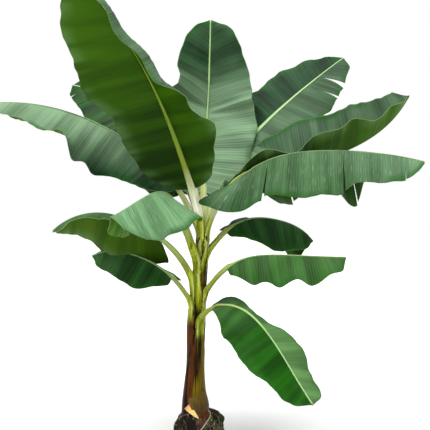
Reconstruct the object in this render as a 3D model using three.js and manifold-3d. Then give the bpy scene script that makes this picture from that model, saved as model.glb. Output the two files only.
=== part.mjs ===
// Banana plant on its root ball.
// Millimetres, +Z up, +X to the right and +Y away in the usual view.
// The origin is the middle of the root ball's flat underside.
// A leaf is a stalk and a blade: the stalk leaves the stem, and the blade's rib runs on from it.
// Headings are in degrees from +X towards +Y, and pitches are in degrees above level.
import * as THREE from 'three';
import { mergeVertices } from 'three/addons/utils/BufferGeometryUtils.js';
import Module from 'manifold-3d';

const wasm = await Module();
wasm.setup();

// Driving dimensions
const GAP = 0.3;
const BALL = {
  top: 226, rim: 127, rimHeight: 128, flat: 94, shoulder: 0.8, sides: 24, ringsBelow: 6, ringsAbove: 7,
};
// Each lump is its size as a share of the radius, its count round the ball and its twist up the rings
const BALL_LUMPS = [[0.035, 3, 0.8], [0.025, 7, -1.3]];
const STEM = { foot: 150, top: 1168, footX: -27, lean: 46, leanPower: 2.2, rings: 20, sides: 20 };
// Radii of the false stem at even heights from its foot to its top
const STEM_RADII = [70, 67, 57, 50.5, 49.5, 48.5, 43, 41, 38, 33, 20];
// The stalk takes the first share of the leaf's heading and pitch values, and the blade takes the rest
const STALK = { start: 25, end: 12.5, taper: 0.7, share: 0.25, sides: 8, steps: 8 };
const BLADE = { thickness: 0.011, rib: 11, ribTaper: 0.6, fewest: 5, stepLength: 90, across: 4, end: 0.99 };
// Half the blade's breadth along the rib: a sine of the place to one power, raised to another
const BREADTH = { skew: 0.85, fullness: 0.55, base: 0.05, least: 0.1 };
const SWEEP = [-20, 6, 16, 32];
const EDGE_START = 0.6;
// Near the tip the veins turn back to straight across
const TIP = { start: 0.9, sweepLoss: 0.55 };
const TEAR_HALF_WIDTH = 0.012;
const STUB = {
  heading: 262, height: 252, drop: 62, reach: [57, 99], swing: [24, -42],
  widths: [1, 0.95, 0.6, 0.15], width: 42, thickness: 13, thinning: 0.4, steps: 6, sides: 10,
};

const COLOURS = {
  stem: new THREE.MeshStandardMaterial({ color: 0x6b5a23, roughness: 0.55, metalness: 0 }),
  stalk: new THREE.MeshStandardMaterial({ color: 0x9aa53c, roughness: 0.5, metalness: 0 }),
  blade: new THREE.MeshStandardMaterial({ color: 0x2c5f33, roughness: 0.45, metalness: 0 }),
  ball: new THREE.MeshStandardMaterial({ color: 0x2f2820, roughness: 0.95, metalness: 0 }),
  stub: new THREE.MeshStandardMaterial({ color: 0xc79a3c, roughness: 0.7, metalness: 0 }),
};

// Leaves in the order of cutting: where two meet, the later one gives way.
// Rise is the height where the stalk leaves the stem's middle, and girth scales its end and its rib.
// Heading and pitch are given at the stalk's start, the blade's base, a third, two thirds and the tip.
// A half's lift is its angle above level across the rib, and edge is the extra curl near its margin.
// Sweep is the angle of its veins towards the tip, and ripple is a wave's height, count and phase.
// Left and right are as seen along the rib from the base with the upper side up.
// A tear is its place along the rib and its depth as a share of the half's width.
const LEAVES = [
  {
    name: 'high_left', rise: 1115, stalk: 262, blade: 1165, girth: 1.9,
    heading: [228, 226, 228, 227, 226], pitch: [80, 67, 59, 47, 40],
    left: {
      width: 280, lift: [0, 0, -10, -24, -28, -28], edge: [0, 0, -5, -10, -70, -85, -85, -80, -60],
      shape: [0.8, 1.1, 1.1, 0.92, 0.94, 0.95, 1, 1, 1], sweep: [10, 6, 16, 32], ripple: [24, 5, 0.05],
    },
    right: {
      width: 300, lift: [-54, -46, -34, -25],
      shape: [0.75, 0.79, 0.91, 0.94, 0.88, 0.82, 1.16, 1.16, 1.14, 1.18, 1.21, 1.31, 1.5],
      sweep: [8, 6, 16, 32], ripple: [14, 4, 0.3],
    },
  },
  {
    name: 'high_middle', rise: 1165, stalk: 190, blade: 985, girth: 1.4,
    heading: [110, 88, 80, 76, 72], pitch: [84, 76, 69, 82, 86],
    left: { width: 225, lift: [30, 42, 42, 35], shape: [1, 1, 1.02, 1.04, 1.1, 1.3] },
    right: { width: 255, lift: [0, 0, 0, 0], shape: [1, 1.1, 1.06, 0.98, 1.05, 1.2] },
  },
  {
    name: 'right_up', rise: 1115, stalk: 268, blade: 1130, girth: 1.4,
    heading: [0, 2, 4, 6, 8], pitch: [84, 36, 15, 28, 62],
    left: { width: 240, lift: [60, 70, 80, 80], shape: [0.5, 1, 1, 1] },
    right: {
      width: 198, lift: [60, 45, 44, 38, 24], shape: [0.25, 0.9, 0.72, 1, 1, 1, 1], ripple: [20, 5, 0.1],
    },
  },
  {
    name: 'back_right', rise: 1120, stalk: 262, blade: 1070, girth: 1.35,
    heading: [25, 25, 23, 20, 18], pitch: [80, 63, 46, 39, 36],
    left: { width: 235, lift: [20, 35, 40, 30] },
    right: { width: 240, lift: [-45, -50, -50, -30], tears: [[0.82, 0.9], [0.74, 0.35]] },
  },
  {
    name: 'left', rise: 1115, stalk: 285, blade: 1070, girth: 1.45,
    heading: [185, 188, 193, 192, 191], pitch: [70, 56, 32, 15, -6],
    left: {
      width: 260, lift: [-60, -75, -60, -40, -34], edge: [0, 0, 0, 0, 0, 0, 80, 0, 0, 0, 0],
      shape: [0.7, 1, 1, 1], sweep: [4, 6, 16, 32],
    },
    right: { width: 210, lift: [-70, -40, -30, -30] },
  },
  {
    name: 'back_left', rise: 1125, stalk: 260, blade: 960, girth: 1.3,
    heading: [153, 153, 155, 157, 160], pitch: [78, 63, 46, 34, 12],
    left: { width: 220, lift: [-40, -45, -50, -40], tears: [[0.9, 0.5]] },
    right: { width: 235, lift: [10, 25, 40, 40] },
  },
  {
    name: 'back', rise: 1100, stalk: 260, blade: 1040, girth: 1.3,
    heading: [88, 88, 88, 88, 88], pitch: [78, 60, 42, 18, -12],
    left: { width: 205, lift: [15, 5, -10, -20], tears: [[0.55, 0.6]] },
    right: { width: 205, lift: [15, 5, -10, -20], tears: [[0.7, 0.5]] },
  },
  {
    name: 'front_left', rise: 940, stalk: 420, blade: 560, girth: 1.5,
    heading: [238, 240, 243, 238, 234], pitch: [62, 46, -8, -22, -20],
    left: { width: 225, base: 0.12, lift: [0, -50, -60, -40], sweep: [-50, 0, 14, 30] },
    right: { width: 200, lift: [-60, -60, -60, -50], tears: [[0.7, 0.5]] },
  },
  {
    name: 'right_upper', rise: 995, stalk: 205, blade: 560, girth: 1.3,
    heading: [8, 14, 20, 20, 22], pitch: [56, 40, 3, -18, -50],
    left: { width: 150, lift: [0, 0, -50, -85], shape: [1, 1, 1.3, 2.2] },
    right: {
      width: 170, base: 0.05, shape: [0.5, 1, 1.05, 1], lift: [-50, -65, -65, -50],
      sweep: [-20, 6, 16, 28], tears: [[0.76, 0.6]],
    },
  },
  {
    name: 'left_middle', rise: 790, stalk: 420, blade: 575, girth: 1.55,
    heading: [208, 206, 190, 185, 187], pitch: [80, 34, 22, -10, -45],
    left: { width: 140, lift: [-20, -15, -10, -10] },
    right: { width: 235, base: 0.26, lift: [-30, -70, -38, -20], sweep: [-60, -10, 14, 30] },
  },
  {
    name: 'right_middle', rise: 750, stalk: 270, blade: 620, girth: 1.45,
    heading: [338, 344, 349, 349, 348], pitch: [70, 36, 4, -2, 0],
    left: { width: 150, lift: [-10, -15, -15, -15] },
    right: {
      width: 160, lift: [-70, -70, -70, -60], ripple: [12, 4, 0],
      shape: [0.5, 0.79, 1.02, 0.98, 0.95, 1, 1.05, 1.15, 1.4],
    },
  },
  {
    name: 'left_low', rise: 725, stalk: 232, blade: 450, girth: 1.4,
    heading: [208, 194, 189, 187, 185], pitch: [64, 44, 26, 10, -28],
    left: { width: 158, lift: [-50, -65, -60, -50], shape: [0.6, 1.05, 1, 1] },
    right: { width: 150, base: 0.1, lift: [25, -5, 0, 0], sweep: [-50, 0, 14, 30] },
  },
  {
    name: 'right_low', rise: 620, stalk: 215, blade: 745, girth: 1.3,
    heading: [296, 324, 328, 328, 324], pitch: [74, 18, -38, -54, -50],
    left: {
      width: 200, base: 0.1, lift: [10, 5, 5, 10], shape: [1, 1, 0.5, 0.6, 0.95, 1, 1, 1.25, 1.3],
      sweep: [-50, 0, 14, 30],
    },
    right: { width: 232, lift: [-10, -20, -20, -20], sweep: [12, 6, 10, 24], ripple: [12, 3, 0] },
  },
  {
    name: 'right_droop', rise: 1100, stalk: 345, blade: 1000, girth: 1.15,
    heading: [340, 345, 346, 347, 349], pitch: [74, 46, 9, -5, -15],
    left: {
      width: 245, lift: [-20, -50, -86, -84, -60, -60, -86, -60, -35, -20, -15],
      shape: [0.9, 0.8, 1.05, 0.98, 0.6, 0.9, 1.18, 0.6, 0.8, 1, 1.1], tears: [[0.28, 0.8], [0.62, 0.8]],
    },
    right: {
      width: 250, base: 0.25, lift: [30, -45, -76, -76, -75, -74, -73, -72, -70, -68, -62, -56, -52],
      shape: [1.1, 1, 0.75, 0.92, 0.98, 1, 0.95, 1, 1.1, 1.4], sweep: [-60, -34, -12, 4, 6, 10, 20],
      tears: [[0.22, 0.9], [0.6, 0.9], [0.9, 0.4]],
    },
  },
];

// Curves
const radians = (degrees) => degrees * Math.PI / 180;

// The value at t of a smooth curve through values at even places from 0 to 1
function spread(values, t) {
  const last = values.length - 1;
  if (last === 0) return values[0];
  const at = Math.min(Math.max(t, 0), 1) * last;
  const i = Math.min(Math.floor(at), last - 1);
  const f = at - i;
  const [a, b] = [values[i], values[i + 1]];
  const slopeIn = i > 0 ? (b - values[i - 1]) / 2 : b - a;
  const slopeOut = i + 2 <= last ? (values[i + 2] - a) / 2 : b - a;
  const cubic = 2 * f ** 3 - 3 * f ** 2;
  return (cubic + 1) * a - cubic * b + (f ** 3 - 2 * f ** 2 + f) * slopeIn + (f ** 3 - f ** 2) * slopeOut;
}

function smooth(x) {
  const f = Math.min(Math.max(x, 0), 1);
  return f * f * (3 - 2 * f);
}

function stemCentre(z) {
  const s = Math.max(0, (z - STEM.foot) / (STEM.top - STEM.foot));
  return new THREE.Vector3(STEM.footX + STEM.lean * s ** STEM.leanPower, 0, z);
}

function direction(heading, pitch) {
  const [h, p] = [radians(heading), radians(pitch)];
  return new THREE.Vector3(Math.cos(p) * Math.cos(h), Math.cos(p) * Math.sin(h), Math.sin(p));
}

// Half the blade's breadth as a share of its widest
function breadth(t, base) {
  const at = base + (1 - base) * t;
  return Math.max(Math.sin(Math.PI * at ** BREADTH.skew), 0) ** BREADTH.fullness;
}

// Places along a leaf's stalk and rib, with the direction and the sideways and upward axes at each
function walk(leaf) {
  const count = 160;
  const length = leaf.stalk + leaf.blade;
  const step = length / count;
  const point = stemCentre(leaf.rise);
  const places = [];
  let before = null;
  for (let i = 0; i <= count; i++) {
    const s = i * step;
    const share = s < leaf.stalk
      ? STALK.share * s / leaf.stalk
      : STALK.share + (1 - STALK.share) * (s - leaf.stalk) / leaf.blade;
    const heading = spread(leaf.heading, share);
    const along = direction(heading, spread(leaf.pitch, share));
    if (before) point.addScaledVector(before.clone().add(along), step / 2);
    const side = direction(heading - 90, 0);
    places.push({ s, point: point.clone(), along, side, up: side.clone().cross(along) });
    before = along;
  }
  return places;
}

function placeAt(places, s) {
  const at = Math.min(Math.max(s / places[1].s, 0), places.length - 1.001);
  const i = Math.floor(at);
  const mix = (key) => places[i][key].clone().lerp(places[i + 1][key], at - i);
  const [along, side, up] = ['along', 'side', 'up'].map((key) => mix(key).normalize());
  return { point: mix('point'), along, side, up };
}

// Closed meshes from grids of points
function meshOf(points, triangles) {
  const geometry = new THREE.BufferGeometry();
  const numbers = points.flatMap((p) => [p.x, p.y, p.z]);
  geometry.setAttribute('position', new THREE.Float32BufferAttribute(numbers, 3));
  geometry.setIndex(triangles);
  return geometry;
}

// Rings of equal size joined in order, with a fan on each end
function loft(rings) {
  const sides = rings[0].length;
  const points = rings.flat();
  const triangles = [];
  for (let i = 0; i + 1 < rings.length; i++) {
    for (let j = 0; j < sides; j++) {
      const [a, b] = [i * sides + j, i * sides + (j + 1) % sides];
      triangles.push(a, b, b + sides, a, b + sides, a + sides);
    }
  }
  for (const [ring, turn] of [[0, 1], [rings.length - 1, 0]]) {
    const centre = rings[ring].reduce((sum, p) => sum.add(p), new THREE.Vector3()).divideScalar(sides);
    const middle = points.push(centre) - 1;
    for (let j = 0; j < sides; j++) {
      const [a, b] = [ring * sides + j, ring * sides + (j + 1) % sides];
      triangles.push(...(turn ? [middle, b, a] : [middle, a, b]));
    }
  }
  return meshOf(points, triangles);
}

// Two grids of equal size, upper and lower, closed round their four sides
function shell(upper, lower) {
  const [rows, columns] = [upper.length, upper[0].length];
  const side = columns - 1;
  const points = [...upper.flat(), ...lower.flat()];
  const under = rows * columns;
  const at = (i, j) => i * columns + j;
  const triangles = [];
  const quad = (a, b, c, d) => triangles.push(a, b, c, a, c, d);
  for (let i = 0; i + 1 < rows; i++) {
    for (let j = 0; j + 1 < columns; j++) {
      quad(at(i, j), at(i, j + 1), at(i + 1, j + 1), at(i + 1, j));
      quad(at(i, j) + under, at(i + 1, j) + under, at(i + 1, j + 1) + under, at(i, j + 1) + under);
    }
    quad(at(i, 0), at(i + 1, 0), at(i + 1, 0) + under, at(i, 0) + under);
    quad(at(i, side), at(i, side) + under, at(i + 1, side) + under, at(i + 1, side));
  }
  for (let j = 0; j + 1 < columns; j++) {
    quad(at(0, j), at(0, j) + under, at(0, j + 1) + under, at(0, j + 1));
    quad(at(rows - 1, j), at(rows - 1, j + 1), at(rows - 1, j + 1) + under, at(rows - 1, j) + under);
  }
  return meshOf(points, triangles);
}

// Solids, each grown by a small clearance when it serves to cut its neighbours
function stemShape(grow = 0) {
  const rows = [];
  for (let i = 0; i <= STEM.rings; i++) {
    const share = i / STEM.rings;
    const z = STEM.foot + (STEM.top - STEM.foot) * share;
    const centre = stemCentre(z);
    if (i === 0) centre.z -= grow;
    if (i === STEM.rings) centre.z += grow;
    const radius = spread(STEM_RADII, share) + grow;
    rows.push(Array.from({ length: STEM.sides }, (_, j) => {
      const turn = 2 * Math.PI * j / STEM.sides;
      return centre.clone().add(new THREE.Vector3(radius * Math.cos(turn), radius * Math.sin(turn), 0));
    }));
  }
  return loft(rows);
}

function ballShape() {
  const profile = [[0, BALL.flat]];
  for (let i = 1; i <= BALL.ringsBelow; i++) {
    const turn = (Math.PI / 2) * (1 - i / BALL.ringsBelow);
    const radius = BALL.flat + (BALL.rim - BALL.flat) * Math.cos(turn);
    profile.push([BALL.rimHeight * (1 - Math.sin(turn)), radius]);
  }
  for (let i = 1; i < BALL.ringsAbove; i++) {
    const turn = (Math.PI / 2) * i / BALL.ringsAbove;
    const height = BALL.rimHeight + (BALL.top - BALL.rimHeight) * Math.sin(turn);
    profile.push([height, BALL.rim * Math.cos(turn) ** BALL.shoulder]);
  }
  return loft(profile.map(([z, radius], i) => Array.from({ length: BALL.sides }, (_, j) => {
    const turn = 2 * Math.PI * j / BALL.sides;
    const lumps = BALL_LUMPS.map(([size, waves, twist]) => size * Math.sin(waves * turn + twist * i));
    const lumpy = i === 0 ? radius : radius * (1 + lumps[0] + lumps[1]);
    return new THREE.Vector3(lumpy * Math.cos(turn), lumpy * Math.sin(turn), z);
  })));
}

function stalkShape(leaf, grow = 0) {
  const places = walk(leaf);
  const rows = [];
  for (let i = 0; i <= STALK.steps; i++) {
    const share = i / STALK.steps;
    const { point, along, side, up } = placeAt(places, leaf.stalk * share);
    if (i === STALK.steps) point.addScaledVector(along, grow);
    const radius = STALK.start + (STALK.end * leaf.girth - STALK.start) * share ** STALK.taper + grow;
    rows.push(Array.from({ length: STALK.sides }, (_, j) => {
      const turn = 2 * Math.PI * j / STALK.sides;
      const corner = point.clone().addScaledVector(side, radius * Math.cos(turn));
      return corner.addScaledVector(up, radius * Math.sin(turn));
    }));
  }
  return loft(rows);
}

// Places along the rib, with three close together at each tear
function bladeStations(leaf) {
  const steps = BLADE.fewest + Math.round(leaf.blade / BLADE.stepLength);
  const stations = Array.from({ length: steps + 1 }, (_, i) => BLADE.end * i / steps);
  const tears = [...(leaf.left.tears ?? []), ...(leaf.right.tears ?? [])].map(([place]) => place);
  const away = (t) => tears.every((place) => Math.abs(t - place) > 1.6 * TEAR_HALF_WIDTH);
  const torn = tears.flatMap((t) => [t - TEAR_HALF_WIDTH, t, t + TEAR_HALF_WIDTH]);
  return [...stations.filter(away), ...torn].sort((a, b) => a - b);
}

// The points of one half of the blade at t, from the rib to the margin
function halfRow(leaf, key, frame, t, grow) {
  const half = leaf[key];
  const sign = key === 'left' ? -1 : 1;
  const torn = (half.tears ?? []).find(([place]) => Math.abs(place - t) < 1e-9);
  const full = breadth(t, half.base ?? BREADTH.base) * spread(half.shape ?? [1], t);
  const share = Math.max(full, BREADTH.least);
  const width = half.width * share * (torn ? 1 - torn[1] : 1) + grow;
  const kept = 1 - TIP.sweepLoss * smooth((t - TIP.start) / (1 - TIP.start));
  const sweep = radians(spread(half.sweep ?? SWEEP, t)) * kept;
  const [amount, waves, phase] = half.ripple ?? [0, 0, 0];
  const wave = amount * Math.sin(2 * Math.PI * (waves * t + phase)) * breadth(t, BREADTH.base);
  const row = [];
  const point = frame.point.clone();
  for (let k = 0; k < BLADE.across; k++) {
    const middle = (k + 0.5) / BLADE.across;
    const edge = spread(half.edge ?? [0], t) * Math.max(0, (middle - EDGE_START) / (1 - EDGE_START));
    const lift = radians(spread(half.lift, t) + edge);
    const step = frame.side.clone().multiplyScalar(sign * Math.cos(lift));
    step.addScaledVector(frame.up, Math.sin(lift));
    step.multiplyScalar(Math.cos(sweep)).addScaledVector(frame.along, Math.sin(sweep));
    point.addScaledVector(step, width / BLADE.across);
    row.push(point.clone().addScaledVector(frame.up, wave * ((k + 1) / BLADE.across) ** 2));
  }
  return row;
}

function bladeShape(leaf, grow = 0) {
  const places = walk(leaf);
  const stations = bladeStations(leaf);
  const grid = stations.map((t, i) => {
    const frame = placeAt(places, leaf.stalk + leaf.blade * t);
    if (i === 0) frame.point.addScaledVector(frame.along, -grow);
    if (i === stations.length - 1) frame.point.addScaledVector(frame.along, grow);
    const [left, right] = ['left', 'right'].map((key) => halfRow(leaf, key, frame, t, grow));
    return [...left.reverse(), frame.point, ...right];
  });
  const thickness = BLADE.thickness * leaf.blade / 2 + grow;
  const last = [grid.length - 1, grid[0].length - 1];
  const normal = (i, j) => {
    const along = grid[Math.min(i + 1, last[0])][j].clone().sub(grid[Math.max(i - 1, 0)][j]);
    const across = grid[i][Math.min(j + 1, last[1])].clone().sub(grid[i][Math.max(j - 1, 0)]);
    return across.cross(along).normalize();
  };
  const depth = BLADE.rib * leaf.girth;
  const rib = (i, j) => (j === BLADE.across ? depth * (1 - BLADE.ribTaper * i / last[0]) : 0);
  const moved = (distance) => grid.map((row, i) => row.map((p, j) => (
    p.clone().addScaledVector(normal(i, j), distance(i, j))
  )));
  return shell(moved(() => thickness), moved((i, j) => -thickness - rib(i, j)));
}

// The cut end of an old leaf sheath, a flat horn that leans out from the stem's foot
function stubShape(grow = 0) {
  const out = direction(STUB.heading, 0);
  const across = direction(STUB.heading - 90, 0);
  const face = out.clone().add(new THREE.Vector3(0, 0, 1)).normalize();
  const rows = [];
  for (let i = 0; i <= STUB.steps; i++) {
    const share = i / STUB.steps;
    const centre = stemCentre(STUB.height - STUB.drop * share);
    centre.addScaledVector(out, spread(STUB.reach, share));
    centre.addScaledVector(across, spread(STUB.swing, share));
    const wide = (STUB.width / 2) * spread(STUB.widths, share) + grow;
    const thick = (STUB.thickness / 2) * (1 - STUB.thinning * share) + grow;
    rows.push(Array.from({ length: STUB.sides }, (_, j) => {
      const turn = 2 * Math.PI * j / STUB.sides;
      const corner = centre.clone().addScaledVector(across, wide * Math.cos(turn));
      return corner.addScaledVector(face, thick * Math.sin(turn));
    }));
  }
  return loft(rows);
}

// Joining and cutting
function solidOf(geometry) {
  const merged = mergeVertices(geometry, 1e-4);
  const solid = new wasm.Manifold(new wasm.Mesh({
    numProp: 3,
    vertProperties: new Float32Array(merged.attributes.position.array),
    triVerts: new Uint32Array(merged.index.array),
  }));
  return solid.volume() < 0 ? solidOf(turned(merged)) : solid;
}

function turned(geometry) {
  const index = Array.from(geometry.index.array);
  for (let i = 0; i < index.length; i += 3) [index[i], index[i + 1]] = [index[i + 1], index[i]];
  return geometry.clone().setIndex(index);
}

// The largest piece left when the cutters are taken away
function trimmed(solid, cutters) {
  const rest = cutters.reduce((left, cutter) => left.subtract(cutter), solid);
  const pieces = rest.decompose();
  return pieces.reduce((best, piece) => (piece.volume() > best.volume() ? piece : best));
}

function addMesh(group, name, solid, material) {
  const { vertProperties, triVerts } = solid.getMesh();
  const geometry = new THREE.BufferGeometry();
  geometry.setAttribute('position', new THREE.Float32BufferAttribute(Array.from(vertProperties), 3));
  geometry.setIndex(Array.from(triVerts));
  const mesh = new THREE.Mesh(geometry, material);
  mesh.name = name;
  group.add(mesh);
}

// The plant
const plant = new THREE.Group();
const stemCutter = solidOf(stemShape(GAP));
addMesh(plant, 'false_stem', solidOf(stemShape()), COLOURS.stem);
const ball = trimmed(solidOf(ballShape()), [stemCutter, solidOf(stubShape(GAP))]);
addMesh(plant, 'root_ball', ball, COLOURS.ball);
addMesh(plant, 'cut_stub', trimmed(solidOf(stubShape()), [stemCutter]), COLOURS.stub);

const cutters = [stemCutter];
for (const leaf of LEAVES) {
  addMesh(plant, `stalk_${leaf.name}`, trimmed(solidOf(stalkShape(leaf)), cutters), COLOURS.stalk);
  cutters.push(solidOf(stalkShape(leaf, GAP)));
}
for (const leaf of LEAVES) {
  const blade = trimmed(solidOf(bladeShape(leaf)), cutters);
  addMesh(plant, `leaf_${leaf.name}`, blade, COLOURS.blade);
  cutters.push(solidOf(bladeShape(leaf, GAP)).add(blade));
}

export default plant;
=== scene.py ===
# %% [markdown]
# # A young banana plant on its root ball
# A banana plant has no woody trunk. What looks like one is a false stem: leaf sheaths rolled tightly
# round each other. Each sheath narrows to a stalk with a gutter on top, and the stalk runs on through
# the blade as its rib. The plain solids of the plant are loaded first, and every piece made here keeps
# to their places.
# %% Load the plain solids
import math
import random

import bmesh
import bpy
import numpy as np
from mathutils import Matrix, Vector, noise


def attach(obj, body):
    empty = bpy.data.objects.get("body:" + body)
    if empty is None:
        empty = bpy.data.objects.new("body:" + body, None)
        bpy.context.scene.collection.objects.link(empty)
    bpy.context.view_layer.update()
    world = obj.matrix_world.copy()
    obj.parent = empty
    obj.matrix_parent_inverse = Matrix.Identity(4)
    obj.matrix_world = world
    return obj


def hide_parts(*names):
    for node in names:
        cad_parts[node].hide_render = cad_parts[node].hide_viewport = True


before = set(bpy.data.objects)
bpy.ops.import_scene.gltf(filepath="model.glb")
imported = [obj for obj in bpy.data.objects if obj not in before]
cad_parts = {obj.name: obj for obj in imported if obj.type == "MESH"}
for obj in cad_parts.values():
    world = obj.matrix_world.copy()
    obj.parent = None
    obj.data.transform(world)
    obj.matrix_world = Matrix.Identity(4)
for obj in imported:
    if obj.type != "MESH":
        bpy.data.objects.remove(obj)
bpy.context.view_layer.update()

# %% [markdown]
# ## Camera
# The photograph looks level at the middle of the crown from a few metres away, so the blades that come
# forwards look a little larger than those behind. The lens is worked out from the width that the view
# covers at the plant, which keeps the distance and the framing as two plain numbers.
# %% Camera
VIEW_DISTANCE = 4.2
VIEW_WIDTH = 2.236
VIEW_CENTRE = (0.078, 1.232)

camera_data = bpy.data.cameras.new("Camera")
camera_data.sensor_width = 36
camera_data.lens = camera_data.sensor_width * VIEW_DISTANCE / VIEW_WIDTH
camera = bpy.data.objects.new("Camera", camera_data)
camera.location = (VIEW_CENTRE[0], -VIEW_DISTANCE, VIEW_CENTRE[1])
camera.rotation_euler = (math.radians(90), 0, 0)
bpy.context.scene.collection.objects.link(camera)
bpy.context.scene.camera = camera
print("lens:", round(camera_data.lens, 1), "mm")

# %% [markdown]
# ## Floor and light
# A plant photographed for a catalogue stands on a pale sweep under soft overhead light. Wide area lights
# give the waxy upper sides of the blades part of their pale sheen, and the rest of it is painted into their
# colour; a weaker one from the front keeps the undersides green. The world is white where the camera
# looks past the plant and dimmer as a light, so that the blades keep their shading.
# %% Colours and nodes
def linear(hex_colour):
    """Turn an sRGB hex colour such as #2d5a27 into the linear colour that a shader takes."""
    channels = [int(hex_colour[i:i + 2], 16) / 255 for i in (1, 3, 5)]
    return tuple(c / 12.92 if c <= 0.04045 else ((c + 0.055) / 1.055) ** 2.4 for c in channels) + (1,)


def add_node(tree, kind, inputs=None, **settings):
    """Add a shader node with its settings, then fill each input with a value, or a link from a socket or
    from the first output that a node has in use."""
    made = tree.nodes.new("ShaderNode" + kind)
    for name, value in settings.items():
        setattr(made, name, value)
    for key, value in (inputs or {}).items():
        if isinstance(value, bpy.types.Node):
            value = next(socket for socket in value.outputs if socket.enabled)
        if isinstance(value, bpy.types.NodeSocket):
            tree.links.new(value, made.inputs[key])
        else:
            made.inputs[key].default_value = value
    return made


# %% Light and floor
FLOOR_SIZE = 90
FILL_STRENGTH = 0.3
SKY_STRENGTH = 5.2
SKY_SOFTNESS = 60
SKY_AIM = (0.12, 0.35, -1)
LIGHTS = {
    # name: place, aim, size in metres, power in watts
    "Front": ((-3.2, -5.0, 3.4), (0, 0, 1.3), 3.0, 90),
    "Side": ((4.6, -2.2, 2.8), (0, 0, 1.3), 2.4, 50),
}

world = bpy.data.worlds.new("Studio")
world.use_nodes = True
bpy.context.scene.world = world
world.node_tree.nodes.clear()
path = add_node(world.node_tree, "LightPath")
seen = add_node(world.node_tree, "Background", {"Color": (1, 1, 1, 1), "Strength": 1.0})
fill = add_node(world.node_tree, "Background", {"Color": (0.93, 0.97, 1, 1), "Strength": FILL_STRENGTH})
either = add_node(world.node_tree, "MixShader", {0: path.outputs["Is Camera Ray"], 1: fill, 2: seen})
add_node(world.node_tree, "OutputWorld", {"Surface": either})

sky = bpy.data.lights.new("Sky", "SUN")
sky.energy = SKY_STRENGTH
sky.angle = math.radians(SKY_SOFTNESS)
sky_holder = bpy.data.objects.new("Sky", sky)
sky_holder.rotation_euler = Vector(SKY_AIM).to_track_quat("-Z", "Y").to_euler()
bpy.context.scene.collection.objects.link(sky_holder)

for name, (place, aim, size, power) in LIGHTS.items():
    lamp = bpy.data.lights.new(name, "AREA")
    lamp.size = size
    lamp.energy = power
    holder = bpy.data.objects.new(name, lamp)
    holder.location = place
    holder.rotation_euler = (Vector(aim) - Vector(place)).to_track_quat("-Z", "Y").to_euler()
    bpy.context.scene.collection.objects.link(holder)


def new_material(name):
    """A material with only a Principled shader, for the caller to link patterns into."""
    material = bpy.data.materials.new(name)
    material.use_nodes = True
    tree = material.node_tree
    return material, tree, tree.nodes["Principled BSDF"]


def plain_material(name, colour, roughness):
    """A material of one colour and roughness."""
    material, _, surface = new_material(name)
    surface.inputs["Base Color"].default_value = linear(colour)
    surface.inputs["Roughness"].default_value = roughness
    return material


floor_mesh = bpy.data.meshes.new("Studio floor")
half = FLOOR_SIZE / 2
corners = [(-half, -half, 0), (half, -half, 0), (half, half, 0), (-half, half, 0)]
floor_mesh.from_pydata(corners, [], [(0, 1, 2, 3)])
floor = bpy.data.objects.new("Studio_floor", floor_mesh)
bpy.context.scene.collection.objects.link(floor)
matte = plain_material("Matte white paper", "#ececea", 0.9)
matte.node_tree.nodes["Principled BSDF"].inputs["Specular IOR Level"].default_value = 0.1
floor_mesh.materials.append(matte)
bpy.context.scene.view_settings.view_transform = "Standard"

# %% [markdown]
# ## How a leaf grows
# Every leaf follows one rule. Its middle line leaves the stem at a given height, and a heading and a
# pitch that change smoothly along it say where it goes. Each half of the blade is then laid out row by
# row, from the rib to the margin, at an angle that also changes smoothly. The same rule made the plain
# solids, so the fine leaves fall in the same places.
# %% Smooth curves
def spread(values, t):
    """The value at t, from 0 to 1, of a smooth curve through values at even places."""
    values = np.asarray(values, float)
    t = np.clip(np.asarray(t, float), 0, 1)
    last = len(values) - 1
    if last == 0:
        return np.full_like(t, values[0])
    at = t * last
    i = np.minimum(at.astype(int), last - 1)
    f = at - i
    a, b = values[i], values[i + 1]
    slope_in = np.where(i > 0, (b - values[np.maximum(i - 1, 0)]) / 2, b - a)
    slope_out = np.where(i + 2 <= last, (values[np.minimum(i + 2, last)] - a) / 2, b - a)
    cubic = 2 * f**3 - 3 * f**2
    return (cubic + 1) * a - cubic * b + (f**3 - 2 * f**2 + f) * slope_in + (f**3 - f**2) * slope_out


def wander(places, seed):
    """Smooth random values from about -1 to 1, with a new one at each whole step of places."""
    places = np.asarray(places, float)
    low = math.floor(places.min())
    count = math.floor(places.max()) - low + 2
    return spread(np.random.default_rng(seed).uniform(-1, 1, count), (places - low) / (count - 1))


def smooth(x):
    """Rise smoothly from 0 to 1 as x goes from 0 to 1."""
    x = np.clip(x, 0, 1)
    return x * x * (3 - 2 * x)


# %% Stem line and leaf line
# All making is in millimetres, and each mesh is brought to metres at the end.
STEM = {"foot": 150, "top": 1168, "foot_x": -27, "lean": 46, "lean_power": 2.2}
STEM_RADII = [70, 67, 57, 50.5, 49.5, 48.5, 43, 41, 38, 33, 20]
STALK = {"start": 25, "end": 12.5, "taper": 0.7, "share": 0.25}
BREADTH = {"skew": 0.85, "fullness": 0.55, "base": 0.05, "least": 0.1}
SWEEP = [-20, 6, 16, 32]
EDGE_START = 0.6
LINE_POINTS = 161


def stem_centre(z):
    """The false stem's middle at heights z. It leans more the higher it is."""
    z = np.asarray(z, float)
    s = np.maximum((z - STEM["foot"]) / (STEM["top"] - STEM["foot"]), 0)
    return np.stack([STEM["foot_x"] + STEM["lean"] * s ** STEM["lean_power"], 0 * z, z], axis=-1)


def direction(heading, pitch):
    """The direction of length 1 that a heading and a pitch in degrees give."""
    h, p = np.radians(heading), np.radians(pitch)
    return np.stack([np.cos(p) * np.cos(h), np.cos(p) * np.sin(h), np.sin(p)], axis=-1)


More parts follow.
